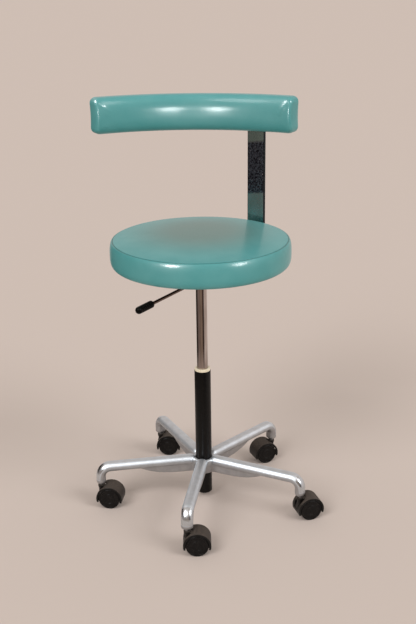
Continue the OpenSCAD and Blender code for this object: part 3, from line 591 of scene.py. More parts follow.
def build_column(settings):
    """Enamelled tube, moulded guide bush and chromed gas cylinder."""
    low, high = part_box("stand_tube")
    outline = pipe_outline(high.x - TUBE_WALL, high.x, low.z, high.z, 0.6 * MM)
    enamel = tube_enamel(settings.enamel)
    bm = turned(outline, COLUMN_SEGMENTS)
    finish_piece(bm, "column_tube", enamel, "base", ["stand_tube"])

    cylinder_low, cylinder_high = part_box("gas_cylinder")
    chrome = chrome_plate("aged_chrome_plate", settings.chrome, linear("#A2968F"), 9 * MM, 0.1)
    outline = pipe_outline(
        cylinder_high.x - CYLINDER_WALL, cylinder_high.x, cylinder_low.z, cylinder_high.z, 0.5 * MM
    )
    bm = turned(outline, COLUMN_SEGMENTS)
    finish_piece(bm, "gas_spring_cylinder", chrome, "seat", ["gas_cylinder"])

    bush_low, bush_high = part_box("guide_bush")
    bore = cylinder_high.x + SLIDING_GAP
    inside = high.x - TUBE_WALL
    outline = rounded([
        (bore, bush_low.z, 0.5 * MM),
        (inside, bush_low.z, 0.5 * MM),
        (inside, high.z, 0),
        (bush_high.x, high.z, 0.5 * MM),
        (bush_high.x, bush_high.z, FLANGE_EDGE),
        (bore, bush_high.z, 0.8 * MM),
    ])
    ivory = moulded_plastic("ivory_acetal", settings.bush, linear("#E6D9BC"), 0.42, 0.03 * MM)
    bm = turned(outline, COLUMN_SEGMENTS)
    finish_piece(bm, "column_guide_bush", ivory, "base", ["guide_bush"])
    give_material(["swing_bush"], ivory)


class STOOL_OT_column(bpy.types.Operator):
    """Column tube, guide bush and gas cylinder"""

    bl_idname = "stool.column"
    bl_label = "Column"

    def execute(self, context):
        build_column(context.scene.stool_column)
        return {"FINISHED"}


# Casters


class StoolCasterSettings(bpy.types.PropertyGroup):
    """Sizes and finish of the casters"""

    lip: length_setting("Hood lip", "Thickness of the ring that closes each side face of a hood", 1.3)
    voxel: length_setting("Face size", "Size of the faces of a hood", 0.75)
    dust: colour_setting("Dust", "Colour of the dust on the hoods", "#4E453E")
    nylon: colour_setting("Hood nylon", "Colour of the hoods", "#191614")
    wheel: colour_setting("Wheel nylon", "Colour of the wheels", "#090808")


WHEEL_SEGMENTS = 72
HOOD_SEGMENTS = 60
HOOD_WRAP = math.radians(18)
LIP_GAP = 0.7 * MM
LIP_INSET = 0.4 * MM
# A hood's side face is glossy between these depths, faintly at the first and fully at the second
FACE_FROM = 1.6 * MM
FACE_TO = 0.7 * MM
# Heights between which the dust on a hood comes to lie fully
DUST_FROM = 22 * MM
DUST_TO = 36 * MM
WHEEL_IN = 7.25 * MM
WHEEL_OUT = 20.75 * MM
WHEEL_BORE = 3.05 * MM
AXLE_HALF = 18.65 * MM
HUB_RADIUS = 6.5 * MM
# The rim's inner edge and the disc's ring, as shares of the wheel's radius
RIM_SHARE = 0.85
RING_SHARE = 0.47
DISC_DEPTH = 1.1 * MM
DISC_THICKNESS = 2.2 * MM


def caster_frame(name):
    """Turns the casters' shared frame, axle along Y and trail along X, to where one caster stands."""
    place = joint_place(f"roll_{name}_a")[0]
    stem = joint_place(f"swivel_{name}")[0]
    trail = Vector((place.x - stem.x, place.y - stem.y, 0)).normalized()
    side = Z_AXIS.cross(trail)
    turn = Matrix((trail, side, Z_AXIS)).transposed().to_4x4()
    return Matrix.Translation((place.x, place.y, 0)) @ turn


def hood_lips(axle_z, inner, outer, half_width, lip):
    """Two flat rings that close the hood's side faces over the wheels' rims."""
    rings = bmesh.new()
    for side in (-1, 1):
        low, high = sorted((side * half_width, side * (half_width - lip)))
        corners = [(inner, low), (outer, low), (outer, high), (inner, high)]
        start = Matrix.Rotation(HOOD_WRAP, 3, "Y")
        loop = [rings.verts.new(start @ Vector((radius, y, 0))) for radius, y in corners]
        face = rings.faces.new(loop)
        bmesh.ops.spin(
            rings, geom=[face, *face.edges, *face.verts], cent=(0, 0, 0), axis=(0, 1, 0),
            angle=-(math.pi + 2 * HOOD_WRAP), steps=HOOD_SEGMENTS,
        )
    bmesh.ops.translate(rings, verts=rings.verts, vec=(0, 0, axle_z))
    return rings


def build_casters(settings):
    """Hoods with softened edges and lipped side faces, and wheels with rims and dished discs."""
    axle_z = joint_place("roll_front_a")[0].z
    home = caster_frame("front").inverted()
    hood = node_copy("caster_front_hood")
    hood.transform(home)
    outer = max(v.co.z for v in hood.verts) - axle_z
    half_width = max(v.co.y for v in hood.verts)
    wheel_low, wheel_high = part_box("caster_front_wheel_a")
    wheel_radius = (wheel_high.z - wheel_low.z) / 2
    lips = hood_lips(axle_z, wheel_radius + LIP_GAP, outer - LIP_INSET, half_width, settings.lip)
    coarse = 1
    blank = cast_from(merged(hood, lips), settings.voxel * coarse, 2)
    nylon = hood_nylon(settings.nylon, settings.dust, linear("#070707"))
    wheel_black = wheel_nylon(settings.wheel, linear("#332E2A"))

    def dust(place, normal):
        return ramp(normal.z, 0.15, 0.8) * ramp(place.z, DUST_FROM, DUST_TO)

    for name in CASTERS:
        there = caster_frame(name)
        bm = blank.copy()
        face_flags = [
            ramp(abs(v.co.y), half_width - FACE_FROM, half_width - FACE_TO)
            * ramp(abs(v.normal.y), 0.4, 0.8)
            for v in bm.verts
        ]
        bm.transform(there)
        piece = finish_piece(
            bm, f"hood_{name}", nylon, f"caster_{name}", [f"caster_{name}_hood"], 60
        )
        store(piece.data, "dust", dust)
        layer = piece.data.attributes.new("face", "FLOAT", "POINT")
        layer.data.foreach_set("value", face_flags)
        for side, letter in ((1, "a"), (-1, "b")):
            wheel = wheel_solid(wheel_radius, side)
            wheel.transform(there @ Matrix.Translation((0, 0, axle_z)))
            finish_piece(
                wheel, f"wheel_{name}_{letter}", wheel_black, f"wheel_{name}_{letter}",
                [f"caster_{name}_wheel_{letter}"],
            )
    blank.free()


def wheel_solid(radius, side):
    """One wheel about its axle: rounded tread, raised rim, dished disc with a ring, and a hub."""
    rim = radius * RIM_SHARE
    disc_out = WHEEL_OUT - DISC_DEPTH
    disc_in = disc_out - DISC_THICKNESS
    ring = radius * RING_SHARE
    outline = rounded([
        (0, disc_out, 0),
        (ring - 1.4 * MM, disc_out, 0.3 * MM),
        (ring - 0.9 * MM, disc_out + 0.4 * MM, 0.2 * MM),
        (ring + 0.5 * MM, disc_out + 0.4 * MM, 0.2 * MM),
        (ring + 1.0 * MM, disc_out, 0.3 * MM),
        (rim - 0.5 * MM, disc_out - 0.2 * MM, 0.4 * MM),
        (rim, WHEEL_OUT, 0.6 * MM),
        (radius, WHEEL_OUT, 2.2 * MM),
        (radius, WHEEL_IN, 2.2 * MM),
        (rim, WHEEL_IN, 0.6 * MM),
        (rim - 0.6 * MM, disc_in, 1 * MM),
        (HUB_RADIUS + 0.4 * MM, disc_in, 1 * MM),
        (HUB_RADIUS, WHEEL_IN, 0.5 * MM),
        (WHEEL_BORE, WHEEL_IN, 0.3 * MM),
        (WHEEL_BORE, AXLE_HALF, 0),
        (0, AXLE_HALF, 0),
    ], closed=False)
    return turned(outline, WHEEL_SEGMENTS, Vector((0, side, 0)), closed=False)


class STOOL_OT_casters(bpy.types.Operator):
    """Five twin-wheel casters with their hoods"""

    bl_idname = "stool.casters"
    bl_label = "Casters"

    def execute(self, context):
        build_casters(context.scene.stool_casters)
        return {"FINISHED"}


# Seat


class StoolSeatSettings(bpy.types.PropertyGroup):
    """Sizes and finish of the seat"""

    cover: length_setting("Cover thickness", "Thickness of the leatherette", 1.5)
    pucker: length_setting("Seam pucker", "Height of the gathers beside the seam", 0.28)
    teal: colour_setting("Leatherette", "Colour of the leatherette", "#4C9899")
    teal_light: colour_setting("Lighter leatherette", "Colour where the leatherette has faded", "#589FA0")
    # Colour of the painted shade in the seam's groove
    crease: colour_setting("Crease", "Colour of the dirt in the seam", "#22443F")
    # Colour of the painted shadow from the pad and painted sheen on the seat's crown
    wear_and_painted_shade: colour_setting("Worn skin", "Colour where sitting has worn the leatherette dull", "#5F7A74")


SEAT_SEGMENTS = 360
SEAT_RINGS = 40
SEAM_INSET = 0.8 * MM
SEAM_DEPTH = 1.3 * MM
SEAM_ROLL = 1.5 * MM
SEAM_LIP = 0.4 * MM
# How dark the painted shade in the seam's groove is
SEAM_SHADE = 0.6
SHOULDER_FROM = 1.6 * MM
SEAT_SWELL = 7 * MM
SEAT_TUCK = 15 * MM
TURN_IN = 20 * MM
WIDEST_SHARE = 0.48
CROWN_POWER = 2.2
SIDE_POWER = 2.6
FOOT_POWER = 3.2
GATHER_PITCH = 9 * MM
# How far from the seam the gathers reach in the panel and in the band
PANEL_GATHERS = 7 * MM
BAND_GATHERS = 8 * MM
# The crown's patch of painted shadow from the pad and painted sheen: how far back its middle lies, how
# narrow it is beside its length, and how strong it is, with its edge and its full strength as shares of the
# seam's radius
SHADE_PATCH_BACK = 30 * MM
SHADE_PATCH_NARROW = 0.95
SHADE_PATCH_STRENGTH = 0.85
SHADE_PATCH_EDGE = 1.05
SHADE_PATCH_FULL = 0.25


def seam_gathers(bm, seam_radius, seam_z, depth, reach, seed):
    """Gathers the leatherette into small folds beside the seam, which fade away from it."""
    waves = round(FULL_TURN * seam_radius / GATHER_PITCH)
    for vertex in bm.verts:
        radius = math.hypot(vertex.co.x, vertex.co.y)
        away = math.hypot(radius - seam_radius, vertex.co.z - seam_z)
        if away > 4 * reach or radius < reach:
            continue
        turn = math.atan2(vertex.co.y, vertex.co.x)
        around = Vector((math.cos(turn), math.sin(turn), seed))
        drift = noise.noise(around * 2.5) * 6
        strength = 0.45 + 0.55 * noise.noise(around * 7)
        wave = math.sin(waves * turn + drift)
        vertex.co += vertex.normal * depth * strength * wave * math.exp(-away / reach)


def build_seat(settings):
    """Crowned top panel and swelling side band, sewn together, over a foam core."""
    low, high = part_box("seat_cover_band")
    top_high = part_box("seat_cover_top")[1]
    seam_radius = top_high.x + SEAM_INSET
    seam_z = high.z
    crown = top_high.z - seam_z
    widest_z = low.z + (seam_z - low.z) * WIDEST_SHARE
    foot_radius = seam_radius + SEAT_SWELL - SEAT_TUCK
    material = leatherette(settings.teal, settings.teal_light, settings.crease, settings.wear_and_painted_shade)

    def side_at(inset):
        points = []
        for step in range(SEAT_RINGS + 1):
            u = 1 - (step / SEAT_RINGS) ** 1.5
            radius = seam_radius - inset + SEAT_SWELL * (1 - u ** SIDE_POWER) ** 0.5
            points.append((radius, widest_z + (seam_z - inset - widest_z) * u))
        for step in range(1, SEAT_RINGS + 1):
            a = math.pi / 2 * step / SEAT_RINGS
            radius = foot_radius - inset + SEAT_TUCK * max(0, math.cos(a)) ** (2 / FOOT_POWER)
            drop = (widest_z - low.z - inset) * math.sin(a) ** (2 / FOOT_POWER)
            points.append((radius, widest_z - drop))
        return points

    edge = seam_radius - SEAM_INSET
    roll_start = edge - SEAM_ROLL
    radii = [roll_start * ring / SEAT_RINGS for ring in range(SEAT_RINGS + 1)]
    upper = [(radius, seam_z + crown * (1 - (radius / seam_radius) ** CROWN_POWER)) for radius in radii]
    roll = rounded([
        (*upper[-1], 0),
        (edge + SEAM_LIP, seam_z + 0.1 * MM, SEAM_ROLL),
        (edge + SEAM_LIP, seam_z - SEAM_DEPTH, 0),
    ], closed=False)
    lower = [(radius, z - settings.cover) for radius, z in reversed(upper)]
    outline = [*upper[:-1], *map(tuple, roll), (edge - 1 * MM, seam_z - SEAM_DEPTH), *lower]
    bm = turned(outline, SEAT_SEGMENTS, closed=False)
    bm.normal_update()
    seam_gathers(bm, seam_radius, seam_z, settings.pucker, PANEL_GATHERS, 1)
    panel = finish_piece(bm, "seat_top_panel", material, "seat", ["seat_cover_top"], 80)

    shoulder_z = seam_z - SHOULDER_FROM
    outer = [point for point in side_at(0) if point[1] < shoulder_z]
    inner = [point for point in side_at(settings.cover) if point[1] < shoulder_z - settings.cover]
    shoulder = rounded([
        (seam_radius - 0.5 * MM, seam_z - SEAM_DEPTH - settings.cover, 0),
        (seam_radius - 0.5 * MM, seam_z - 0.3 * MM, 0.8 * MM),
        (*outer[0], 0),
    ], closed=False)
    turn_in = foot_radius - TURN_IN
    bottom = [(turn_in, low.z), (turn_in, low.z + settings.cover)]
    outline = [*map(tuple, shoulder), *outer[1:], *bottom, *reversed(inner)]
    bm = turned(outline, SEAT_SEGMENTS)
    bm.normal_update()
    seam_gathers(bm, seam_radius, seam_z, settings.pucker, BAND_GATHERS, 2)
    band = finish_piece(bm, "seat_side_band", material, "seat", ["seat_cover_band"], 80)

    # Painted shade, darkest at the bottom of the seam's groove
    def painted_seam_shade(place, normal):
        away = math.hypot(math.hypot(place.x, place.y) - seam_radius, place.z - seam_z + SEAM_DEPTH)
        return SEAM_SHADE * ramp(away, 1.6 * MM, 0.5 * MM)

    # A painted shadow from the pad and a painted sheen on the crown's upward faces
    def wear(place, normal):
        away = math.hypot(place.x / SHADE_PATCH_NARROW, place.y - SHADE_PATCH_BACK)
        patch = ramp(away, SHADE_PATCH_EDGE * seam_radius, SHADE_PATCH_FULL * seam_radius)
        return SHADE_PATCH_STRENGTH * patch * ramp(normal.z, 0.8, 0.95)

    for piece in (panel, band):
        store(piece.data, "crease", painted_seam_shade)
        store(piece.data, "wear", wear)

    foam = open_foam(linear("#E3D7A8"))
    bm = cast_from(node_copy("seat_foam"), 4 * MM, 1)
    core = finish_piece(bm, "seat_foam_core", foam, "seat", ["seat_foam"], 60)


class STOOL_OT_seat(bpy.types.Operator):
    """Round seat in leatherette over foam"""

    bl_idname = "stool.seat"
    bl_label = "Seat"

    def execute(self, context):
        build_seat(context.scene.stool_seat)
        return {"FINISHED"}


# Pad


class StoolPadSettings(bpy.types.PropertyGroup):
    """Sizes of the crescent pad"""

    front_radius: length_setting("Front radius", "Radius of the pad's front face", 408)
    depth: length_setting("Depth", "Thickness of the pad", 42)
    half_turn: FloatProperty(
        name="Half angle", description="Half of the angle that the pad spans",
        default=math.radians(31.4), subtype="ANGLE",
    )
    end_round: length_setting("End rounding", "Rounding of the pad's ends", 7)
    corner: length_setting("Corner rounding", "Rounding of the pad's four corners", 12)
    pinch: length_setting("Pinch", "How far the ends are drawn in at mid height", 2.6)


PAD_MIDDLE_TURN = math.radians(86.8)
PAD_FRONT_SHARE = 0.56
PAD_FRONT_POWER = 2.7
PAD_BACK_POWER = 7
PAD_END_SHARE = 0.9
CORNER_TALLER = 1.3
PAD_CUTS_ALONG = 150
PAD_CUTS_ACROSS = 30
PAD_CUTS_UP = 44
# How far in from its ends the pad is drawn in, and how far its end faces swell
PAD_END_ZONE = 30 * MM
PAD_END_BULGE = 1.2 * MM
# Beyond this share of the half length, a vertex lies on an end face
ON_END = 0.9999
# Direction from the pad's centre of curve to the bar, the distance to the bar's face, and how far that
# face is from the column
PAD_BAR_TURN = math.radians(69.4)
PAD_BAR_REACH = 459.4 * MM
BAR_FACE_RADIUS = 213 * MM


def superellipse(across, up, power):
    """Moves a point of the unit square, along its ray, to the unit superellipse of a power."""
    size = max(abs(across), abs(up))
    if size == 0:
        return 0, 0
    x, y = across / size, up / size
    length = (abs(x) ** power + abs(y) ** power) ** (1 / power)
    return size * x / length, size * y / length


# Folds that the cover draws from the pad's corners, each from one place to another on the front face,
# as shares of the half length and of the half height, with a width and a height in metres
PAD_FOLDS = (
    ((-0.962, 0.78), (-0.885, 0.12), 4.5 * MM, 1.3 * MM),
    ((-0.925, 0.62), (-0.862, 0.3), 3.5 * MM, 0.7 * MM),
    ((-0.965, -0.75), (-0.90, -0.5), 4 * MM, 0.7 * MM),
    ((0.955, 0.8), (0.88, 0.1), 5 * MM, 1.4 * MM),
    ((0.90, 0.4), (0.84, 0.0), 6 * MM, 0.7 * MM),
    ((0.965, -0.8), (0.92, -0.5), 4 * MM, 0.6 * MM),
)


def fold_height(along, up, half_length, half_height):
    """Height of the folds at a place on the pad's front face."""
    here = Vector((along, up))
    height = 0
    for start, end, width, rise in PAD_FOLDS:
        a = Vector((start[0] * half_length, start[1] * half_height))
        b = Vector((end[0] * half_length, end[1] * half_height))
        span = b - a
        share = min(1, max(0, (here - a).dot(span) / span.length_squared))
        away = (here - a - span * share).length
        height += rise * (1 - 0.5 * share) * math.exp(-((away / width) ** 2))
    return height


def build_pad(settings):
    """Crescent cushion whose cover is drawn round its ends, over foam and curved plywood."""
    low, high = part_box("pad_cover")
    middle_z = (low.z + high.z) / 2
    half_height = (high.z - low.z) / 2
    front = settings.depth * PAD_FRONT_SHARE
    core_radius = settings.front_radius + front
    half_length = core_radius * settings.half_turn
    bar_face = Vector((math.cos(BAR_TURN), math.sin(BAR_TURN), 0)) * BAR_FACE_RADIUS
    centre = bar_face - Vector((math.cos(PAD_BAR_TURN), math.sin(PAD_BAR_TURN), 0)) * PAD_BAR_REACH
    bm = bmesh.new()
    bmesh.ops.create_cube(bm, size=2)
    for axis, cuts in ((0, PAD_CUTS_ALONG), (1, PAD_CUTS_ACROSS), (2, PAD_CUTS_UP)):
        edges = [e for e in bm.edges if abs((e.verts[0].co - e.verts[1].co)[axis]) > 1]
        bmesh.ops.subdivide_edges(bm, edges=edges, cuts=cuts, use_grid_fill=True)
    for vertex in bm.verts:
        side, across, up = vertex.co
        power = PAD_FRONT_POWER if across < 0 else PAD_BACK_POWER
        reach = front if across < 0 else settings.depth - front
        past = max(0, abs(side) - PAD_END_SHARE) / (1 - PAD_END_SHARE)
        bend = past * math.pi / 2
        inset = settings.end_round * (1 - math.cos(bend))
        x, y = superellipse(across, up, power)
        depth_out = (reach - inset) * x
        height = (half_height - inset) * y
        along = min(abs(side), PAD_END_SHARE) / PAD_END_SHARE * (half_length - settings.end_round)
        along += settings.end_round * math.sin(bend)
        size = max(abs(across), abs(up))
        near_end = ramp(along, half_length - PAD_END_ZONE, half_length)
        along -= settings.pinch * near_end * (1 - (height / half_height) ** 2)
        corner_height = CORNER_TALLER * settings.corner
        into_corner = max(0, abs(height) - half_height + corner_height) / corner_height
        along -= settings.corner * near_end * (1 - math.sqrt(max(0, 1 - into_corner * into_corner)))
        if abs(side) > ON_END:
            along += PAD_END_BULGE * (1 - size * size)
        along = math.copysign(along, side)
        if across < 0:
            depth_out -= fold_height(along, height, half_length, half_height) * ramp(-x, 0.2, 0.8)
        turn = PAD_MIDDLE_TURN - along / core_radius
        radius = core_radius + depth_out
        vertex.co = centre + Vector((radius * math.cos(turn), radius * math.sin(turn), middle_z + height))
    bmesh.ops.recalc_face_normals(bm, faces=bm.faces)
    material = bpy.data.materials["teal_leatherette"]
    cover = finish_piece(bm, "pad_cover_skin", material, "support", ["pad_cover"], 80)
    for name in ("crease", "wear"):
        store(cover.data, name, lambda place, normal: 0)
    foam = bpy.data.materials["open_cell_foam"]
    bm = cast_from(node_copy("pad_foam"), 3 * MM, 1)
    core = finish_piece(bm, "pad_foam_core", foam, "support", ["pad_foam"], 60)


class STOOL_OT_pad(bpy.types.Operator):
    """Crescent support pad in leatherette"""

    bl_idname = "stool.pad"
    bl_label = "Pad"

    def execute(self, context):
        build_pad(context.scene.stool_pad)
        return {"FINISHED"}


# Support bar


class StoolBarSettings(bpy.types.PropertyGroup):
    """Sizes and finish of the support bar"""

    edge: length_setting("Edge", "Rounding of the bar's edges", 1.1)
    clean: colour_setting("Clean plate", "Colour of the plate that has stayed bright", "#A3ABAC")
    # This colour is the painted dark reflection of a dim room on the plate above the seat
    painted_dark_reflection: colour_setting("Tarnish", "Colour of the tarnished plate", "#24262F")


# The plate is painted dark, as a painted reflection of a dim room, between these distances from the seat's
# top and the pad's underside
PAINTED_DARK_ABOVE_SEAT = 49 * MM
PAINTED_DARK_BELOW_PAD = 32 * MM
# How far the painted dark reflection's edges rise across the bar, as a share of the way across
PAINTED_DARK_SLANT = 0.15


def build_bar(settings):
    """Flat bar with rounded edges, its plate pitted, with a painted dark reflection above the seat."""
    bm = node_copy("support_bar")
    bmesh.ops.dissolve_limit(bm, angle_limit=math.radians(1), verts=bm.verts, edges=bm.edges)
    outer = [
        e for e in bm.edges
        if len(e.link_faces) == 2 and e.calc_face_angle(0) > math.radians(60) and e.calc_length() > 6 * MM
    ]
    bmesh.ops.bevel(
        bm, geom=outer, offset=settings.edge, offset_type="OFFSET", affect="EDGES", segments=3,
        profile=0.5, material=-1, clamp_overlap=True,
    )
    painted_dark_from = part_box("seat_cover_top")[1].z + PAINTED_DARK_ABOVE_SEAT
    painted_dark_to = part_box("pad_cover")[0].z - PAINTED_DARK_BELOW_PAD
    half_width = max(abs(v.co.dot(Vector(BAR_ACROSS))) for v in bm.verts)
    plate = chrome_with_painted_reflections(settings.clean, settings.painted_dark_reflection, painted_dark_from, painted_dark_to, half_width)
    finish_piece(bm, "support_bar_strip", plate, "support", ["support_bar"], 30)


class STOOL_OT_support_bar(bpy.types.Operator):
    """Flat chromed bar that carries the pad"""

    bl_idname = "stool.support_bar"
    bl_label = "Support bar"

    def execute(self, context):
        build_bar(context.scene.stool_bar)
        return {"FINISHED"}


# Lever


class StoolLeverSettings(bpy.types.PropertyGroup):
    """Sizes and finish of the release lever"""

    rod_radius: length_setting("Rod radius", "Radius of the lever's rod", 3.5)
    grip_radius: length_setting("Grip radius", "Radius of the grip", 7.8)
    grip_length: length_setting("Grip length", "Length of the grip", 50)
    plate: colour_setting("Rod plate", "Colour of the rod's worn plate", "#6C594F")


LEVER_REACH = 232 * MM
LEVER_SLOPE = math.radians(1.2)
LEVER_KNEE = 60 * MM
LEVER_KNEE_ROUND = 12 * MM
EYE_BORE = 2.55 * MM
EYE_WALL = 2.5 * MM
EYE_SEGMENTS = 40
GRIP_SEGMENTS = 64
GRIP_END_STEPS = 12
GRIP_RIBS = 9
GRIP_GROOVE = 0.8 * MM
GRIP_START_GROOVE = 0.4 * MM
# A rib's top starts and ends at these shares of the ribs' pitch
RIB_FROM = 0.22
RIB_TO = 0.8
# The axis of the grip's end lies the grip's radius and this much above the solid grip's lowest point
GRIP_LIFT = 0.2 * MM


def lever_point(outward, height):
    """A point in the lever's own upright plane."""
    return Vector((outward * math.cos(LEVER_TURN), outward * math.sin(LEVER_TURN), height))


def rod_along(path, radius):
    """A round rod with closed ends along a path."""
    curve = bpy.data.curves.new("rod", "CURVE")
    curve.dimensions = "3D"
    curve.bevel_depth = radius
    curve.bevel_resolution = 6
    curve.use_fill_caps = True
    spline = curve.splines.new("POLY")
    spline.points.add(len(path) - 1)
    for point, place in zip(spline.points, path):
        point.co = (*place, 1)
    bm = evaluated_shape(put_in_scene("rod", curve))
    bpy.data.curves.remove(curve)
    bmesh.ops.remove_doubles(bm, verts=bm.verts, dist=0.001 * MM)
    bmesh.ops.recalc_face_normals(bm, faces=bm.faces)
    return bm


def build_lever(settings):
    """Cranked rod with a bent knee and its pivot eye, and a ribbed grip with a round end."""
    pivot, axis = joint_place("lever_pull")
    pivot_out = math.hypot(pivot.x, pivot.y)
    end_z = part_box("lever_grip")[0].z + settings.grip_radius + GRIP_LIFT
    slope = math.tan(LEVER_SLOPE)
    knee_z = end_z + (LEVER_REACH - LEVER_KNEE) * slope
    flat = rounded([
        (-settings.rod_radius, pivot.z, 0),
        (pivot_out + 4 * MM, pivot.z, 8 * MM),
        (LEVER_KNEE, knee_z, LEVER_KNEE_ROUND),
        (LEVER_REACH - settings.grip_radius, end_z + settings.grip_radius * slope, 0),
    ], closed=False, steps=10)
    bm = rod_along([lever_point(*point) for point in flat], settings.rod_radius)
    eye_half = settings.rod_radius + 0.5 * MM
    eye_radius = settings.rod_radius + EYE_WALL
    eye_outline = rounded([
        (EYE_BORE, -eye_half, 0.2 * MM),
        (eye_radius, -eye_half, 0.6 * MM),
        (eye_radius, eye_half, 0.6 * MM),
        (EYE_BORE, eye_half, 0.2 * MM),
    ])
    eye = turned(eye_outline, EYE_SEGMENTS, axis)
    bmesh.ops.translate(eye, verts=eye.verts, vec=pivot)
    rod_chrome = chrome_plate("worn_rod_plate", settings.plate, linear("#4A3A33"), 5 * MM, 0.22)
    finish_piece(merged(bm, eye), "lever_rod_bent", rod_chrome, "lever", ["lever_rod"])

    straight = settings.grip_length - settings.grip_radius
    pitch = straight / GRIP_RIBS
    outline = [(settings.rod_radius, 0)]
    for rib in range(GRIP_RIBS):
        start = rib * pitch
        groove = GRIP_GROOVE if rib else GRIP_START_GROOVE
        outline += [
            (settings.grip_radius - groove, start),
            (settings.grip_radius, start + pitch * RIB_FROM),
            (settings.grip_radius, start + pitch * RIB_TO),
        ]
    for step in range(GRIP_END_STEPS + 1):
        a = math.pi / 2 * step / GRIP_END_STEPS
        rise = settings.grip_radius * math.sin(a)
        outline.append((settings.grip_radius * math.cos(a), straight + rise))
    outline[-1] = (0, settings.grip_length)
    outline = [*outline, (0, straight), (settings.rod_radius, straight)]
    direction = lever_point(math.cos(LEVER_SLOPE), -math.sin(LEVER_SLOPE)).normalized()
    grip = turned(outline, GRIP_SEGMENTS, direction, closed=False)
    bmesh.ops.recalc_face_normals(grip, faces=grip.faces)
    tip = lever_point(LEVER_REACH, end_z)
    bmesh.ops.translate(grip, verts=grip.verts, vec=tip - direction * settings.grip_length)
    black = moulded_plastic(
        "black_grip_plastic", linear("#070606"), linear("#0D0C0B"), 0.3, 0.03 * MM, shine=0.08
    )
    finish_piece(grip, "lever_grip_ribbed", black, "lever", ["lever_grip"], 35)


class STOOL_OT_lever(bpy.types.Operator):
    """Release lever with its ribbed grip"""

    bl_idname = "stool.lever"
    bl_label = "Release lever"

    def execute(self, context):
        build_lever(context.scene.stool_lever)
        return {"FINISHED"}


# Pieces that keep their CAD shape


def build_hardware():
    """Gives the stool's inner parts, plates and fasteners their finishes."""
    zinc = plated_steel("zinc_plated_steel", linear("#A3A5A8"), 0.35)
    ground = plated_steel("ground_steel", linear("#C6C8CB"), 0.2)
    enamel = moulded_plastic("black_stove_enamel", linear("#242322"), linear("#302D2A"), 0.36, 0.05 * MM)
    rubber = moulded_plastic("moulded_rubber", linear("#1B1A19"), linear("#262422"), 0.7, 0.08 * MM)
    nylon = moulded_plastic("grey_black_nylon", linear("#2E2C2A"), linear("#393633"), 0.45, 0.04 * MM)
    red = moulded_plastic("red_button_plastic", linear("#B2372A"), linear("#9E2F24"), 0.3, 0.02 * MM)
    brass = plated_steel("pressed_brass", linear("#B9965A"), 0.3)
    axles = [f"caster_{name}_axle" for name in CASTERS]
    give_material([
        "caster_stems", "tube_end_plate", "rod_clip", "seat_screws", "tee_nuts", "lever_pin",
        "collar_ring", "collar_bolts", "bar_screws", "pad_screws", *axles,
    ], zinc)
    give_material(["lower_race", "upper_race", "bearing_balls", "valve_block"], ground)
    give_material(["piston_rod"], bpy.data.materials["aged_chrome_plate"])
    give_material(["column_housing", "seat_plate", "swing_collar", "pad_bracket"], enamel)
    give_material(["bump_stop"], rubber)
    give_material(["piston", "rod_guide"], nylon)
    give_material(["valve_button"], red)
    give_material(["ball_cage"], brass)
    give_material(["seat_board", "pad_board"], birch_plywood(linear("#C9A574"), linear("#B48B58")))
    give_material(["dust_cover"], spun_cloth(linear("#1D1D1E")))


class STOOL_OT_hardware(bpy.types.Operator):
    """Inner parts, plates and fasteners"""

    bl_idname = "stool.hardware"
    bl_label = "Hardware"

    def execute(self, context):
        build_hardware()
        return {"FINISHED"}


# Stage


class StoolStageSettings(bpy.types.PropertyGroup):
    """Floor, light and camera"""

    floor: colour_setting("Floor", "Colour of the floor", "#D0C2BA")
    key: FloatProperty(name="Key light", description="Strength of the left light", default=1.4)
    fill: FloatProperty(name="Fill light", description="Strength of the right light", default=1.1)
    glint: FloatProperty(
        name="Glints", description="Strength of the lamps that show only in reflections", default=1.5
    )
    sky: FloatProperty(name="Surround", description="Strength of the even light all round", default=0.55)


FLOOR_HALF = 60
# The dim room: how far its colour ramp's start is turned, to the left back, and the ramp's colours, at
# shares of a full turn from there
ROOM_TURN = math.radians(60)
ROOM_STOPS = (
    (0, "#1E1A17"),
    (0.14, "#3A3029"),
    (0.22, "#897D79"),
    (0.28, "#95857D"),
    (0.34, "#847469"),
    (0.4, "#9C8C7D"),
    (0.45, "#8A766C"),
    (0.49, "#2E211E"),
    (0.52, "#2E2420"),
    (0.58, "#DED2CC"),
)
# Where the room starts and is full in reflections: in metres from the column on the floor, and as the
# level part of a ray's direction in the sky
FLOOR_ROOM = (0.55, 0.9)
SKY_ROOM = (0.8, 0.95)
SOFT_LIGHT_ANGLE = math.radians(30)
# Lamps that show only in reflections, each with the one piece it shows on, its place and its radius, both
# in millimetres, and its brightness
GLINTS = (
    ("pad_cover_skin", (-294, -802, 857), 80, 50),
    ("pad_cover_skin", (52, -770, 865), 76, 40),
    ("pad_cover_skin", (530, -237, 1288), 80, 40),
    ("pad_cover_skin", (-856, 146, 1563), 330, 20),
    ("seat_side_band", (-632, -947, 940), 180, 44),
    ("seat_side_band", (820, -801, 889), 180, 22),
    ("star_casting", (-632, -947, 940), 180, 24),
)


def add_sun(name, turn, height, strength):
    """A soft light from a direction and a height above the floor, both in degrees."""
    light = bpy.data.lights.new(name, "SUN")
    light.energy = strength
    light.angle = SOFT_LIGHT_ANGLE
    turn, height = math.radians(turn), math.radians(height)
    level = math.cos(height)
    towards = Vector((math.cos(turn) * level, math.sin(turn) * level, math.sin(height)))
    put_in_scene(name, light).rotation_euler = towards.to_track_quat("Z", "Y").to_euler()


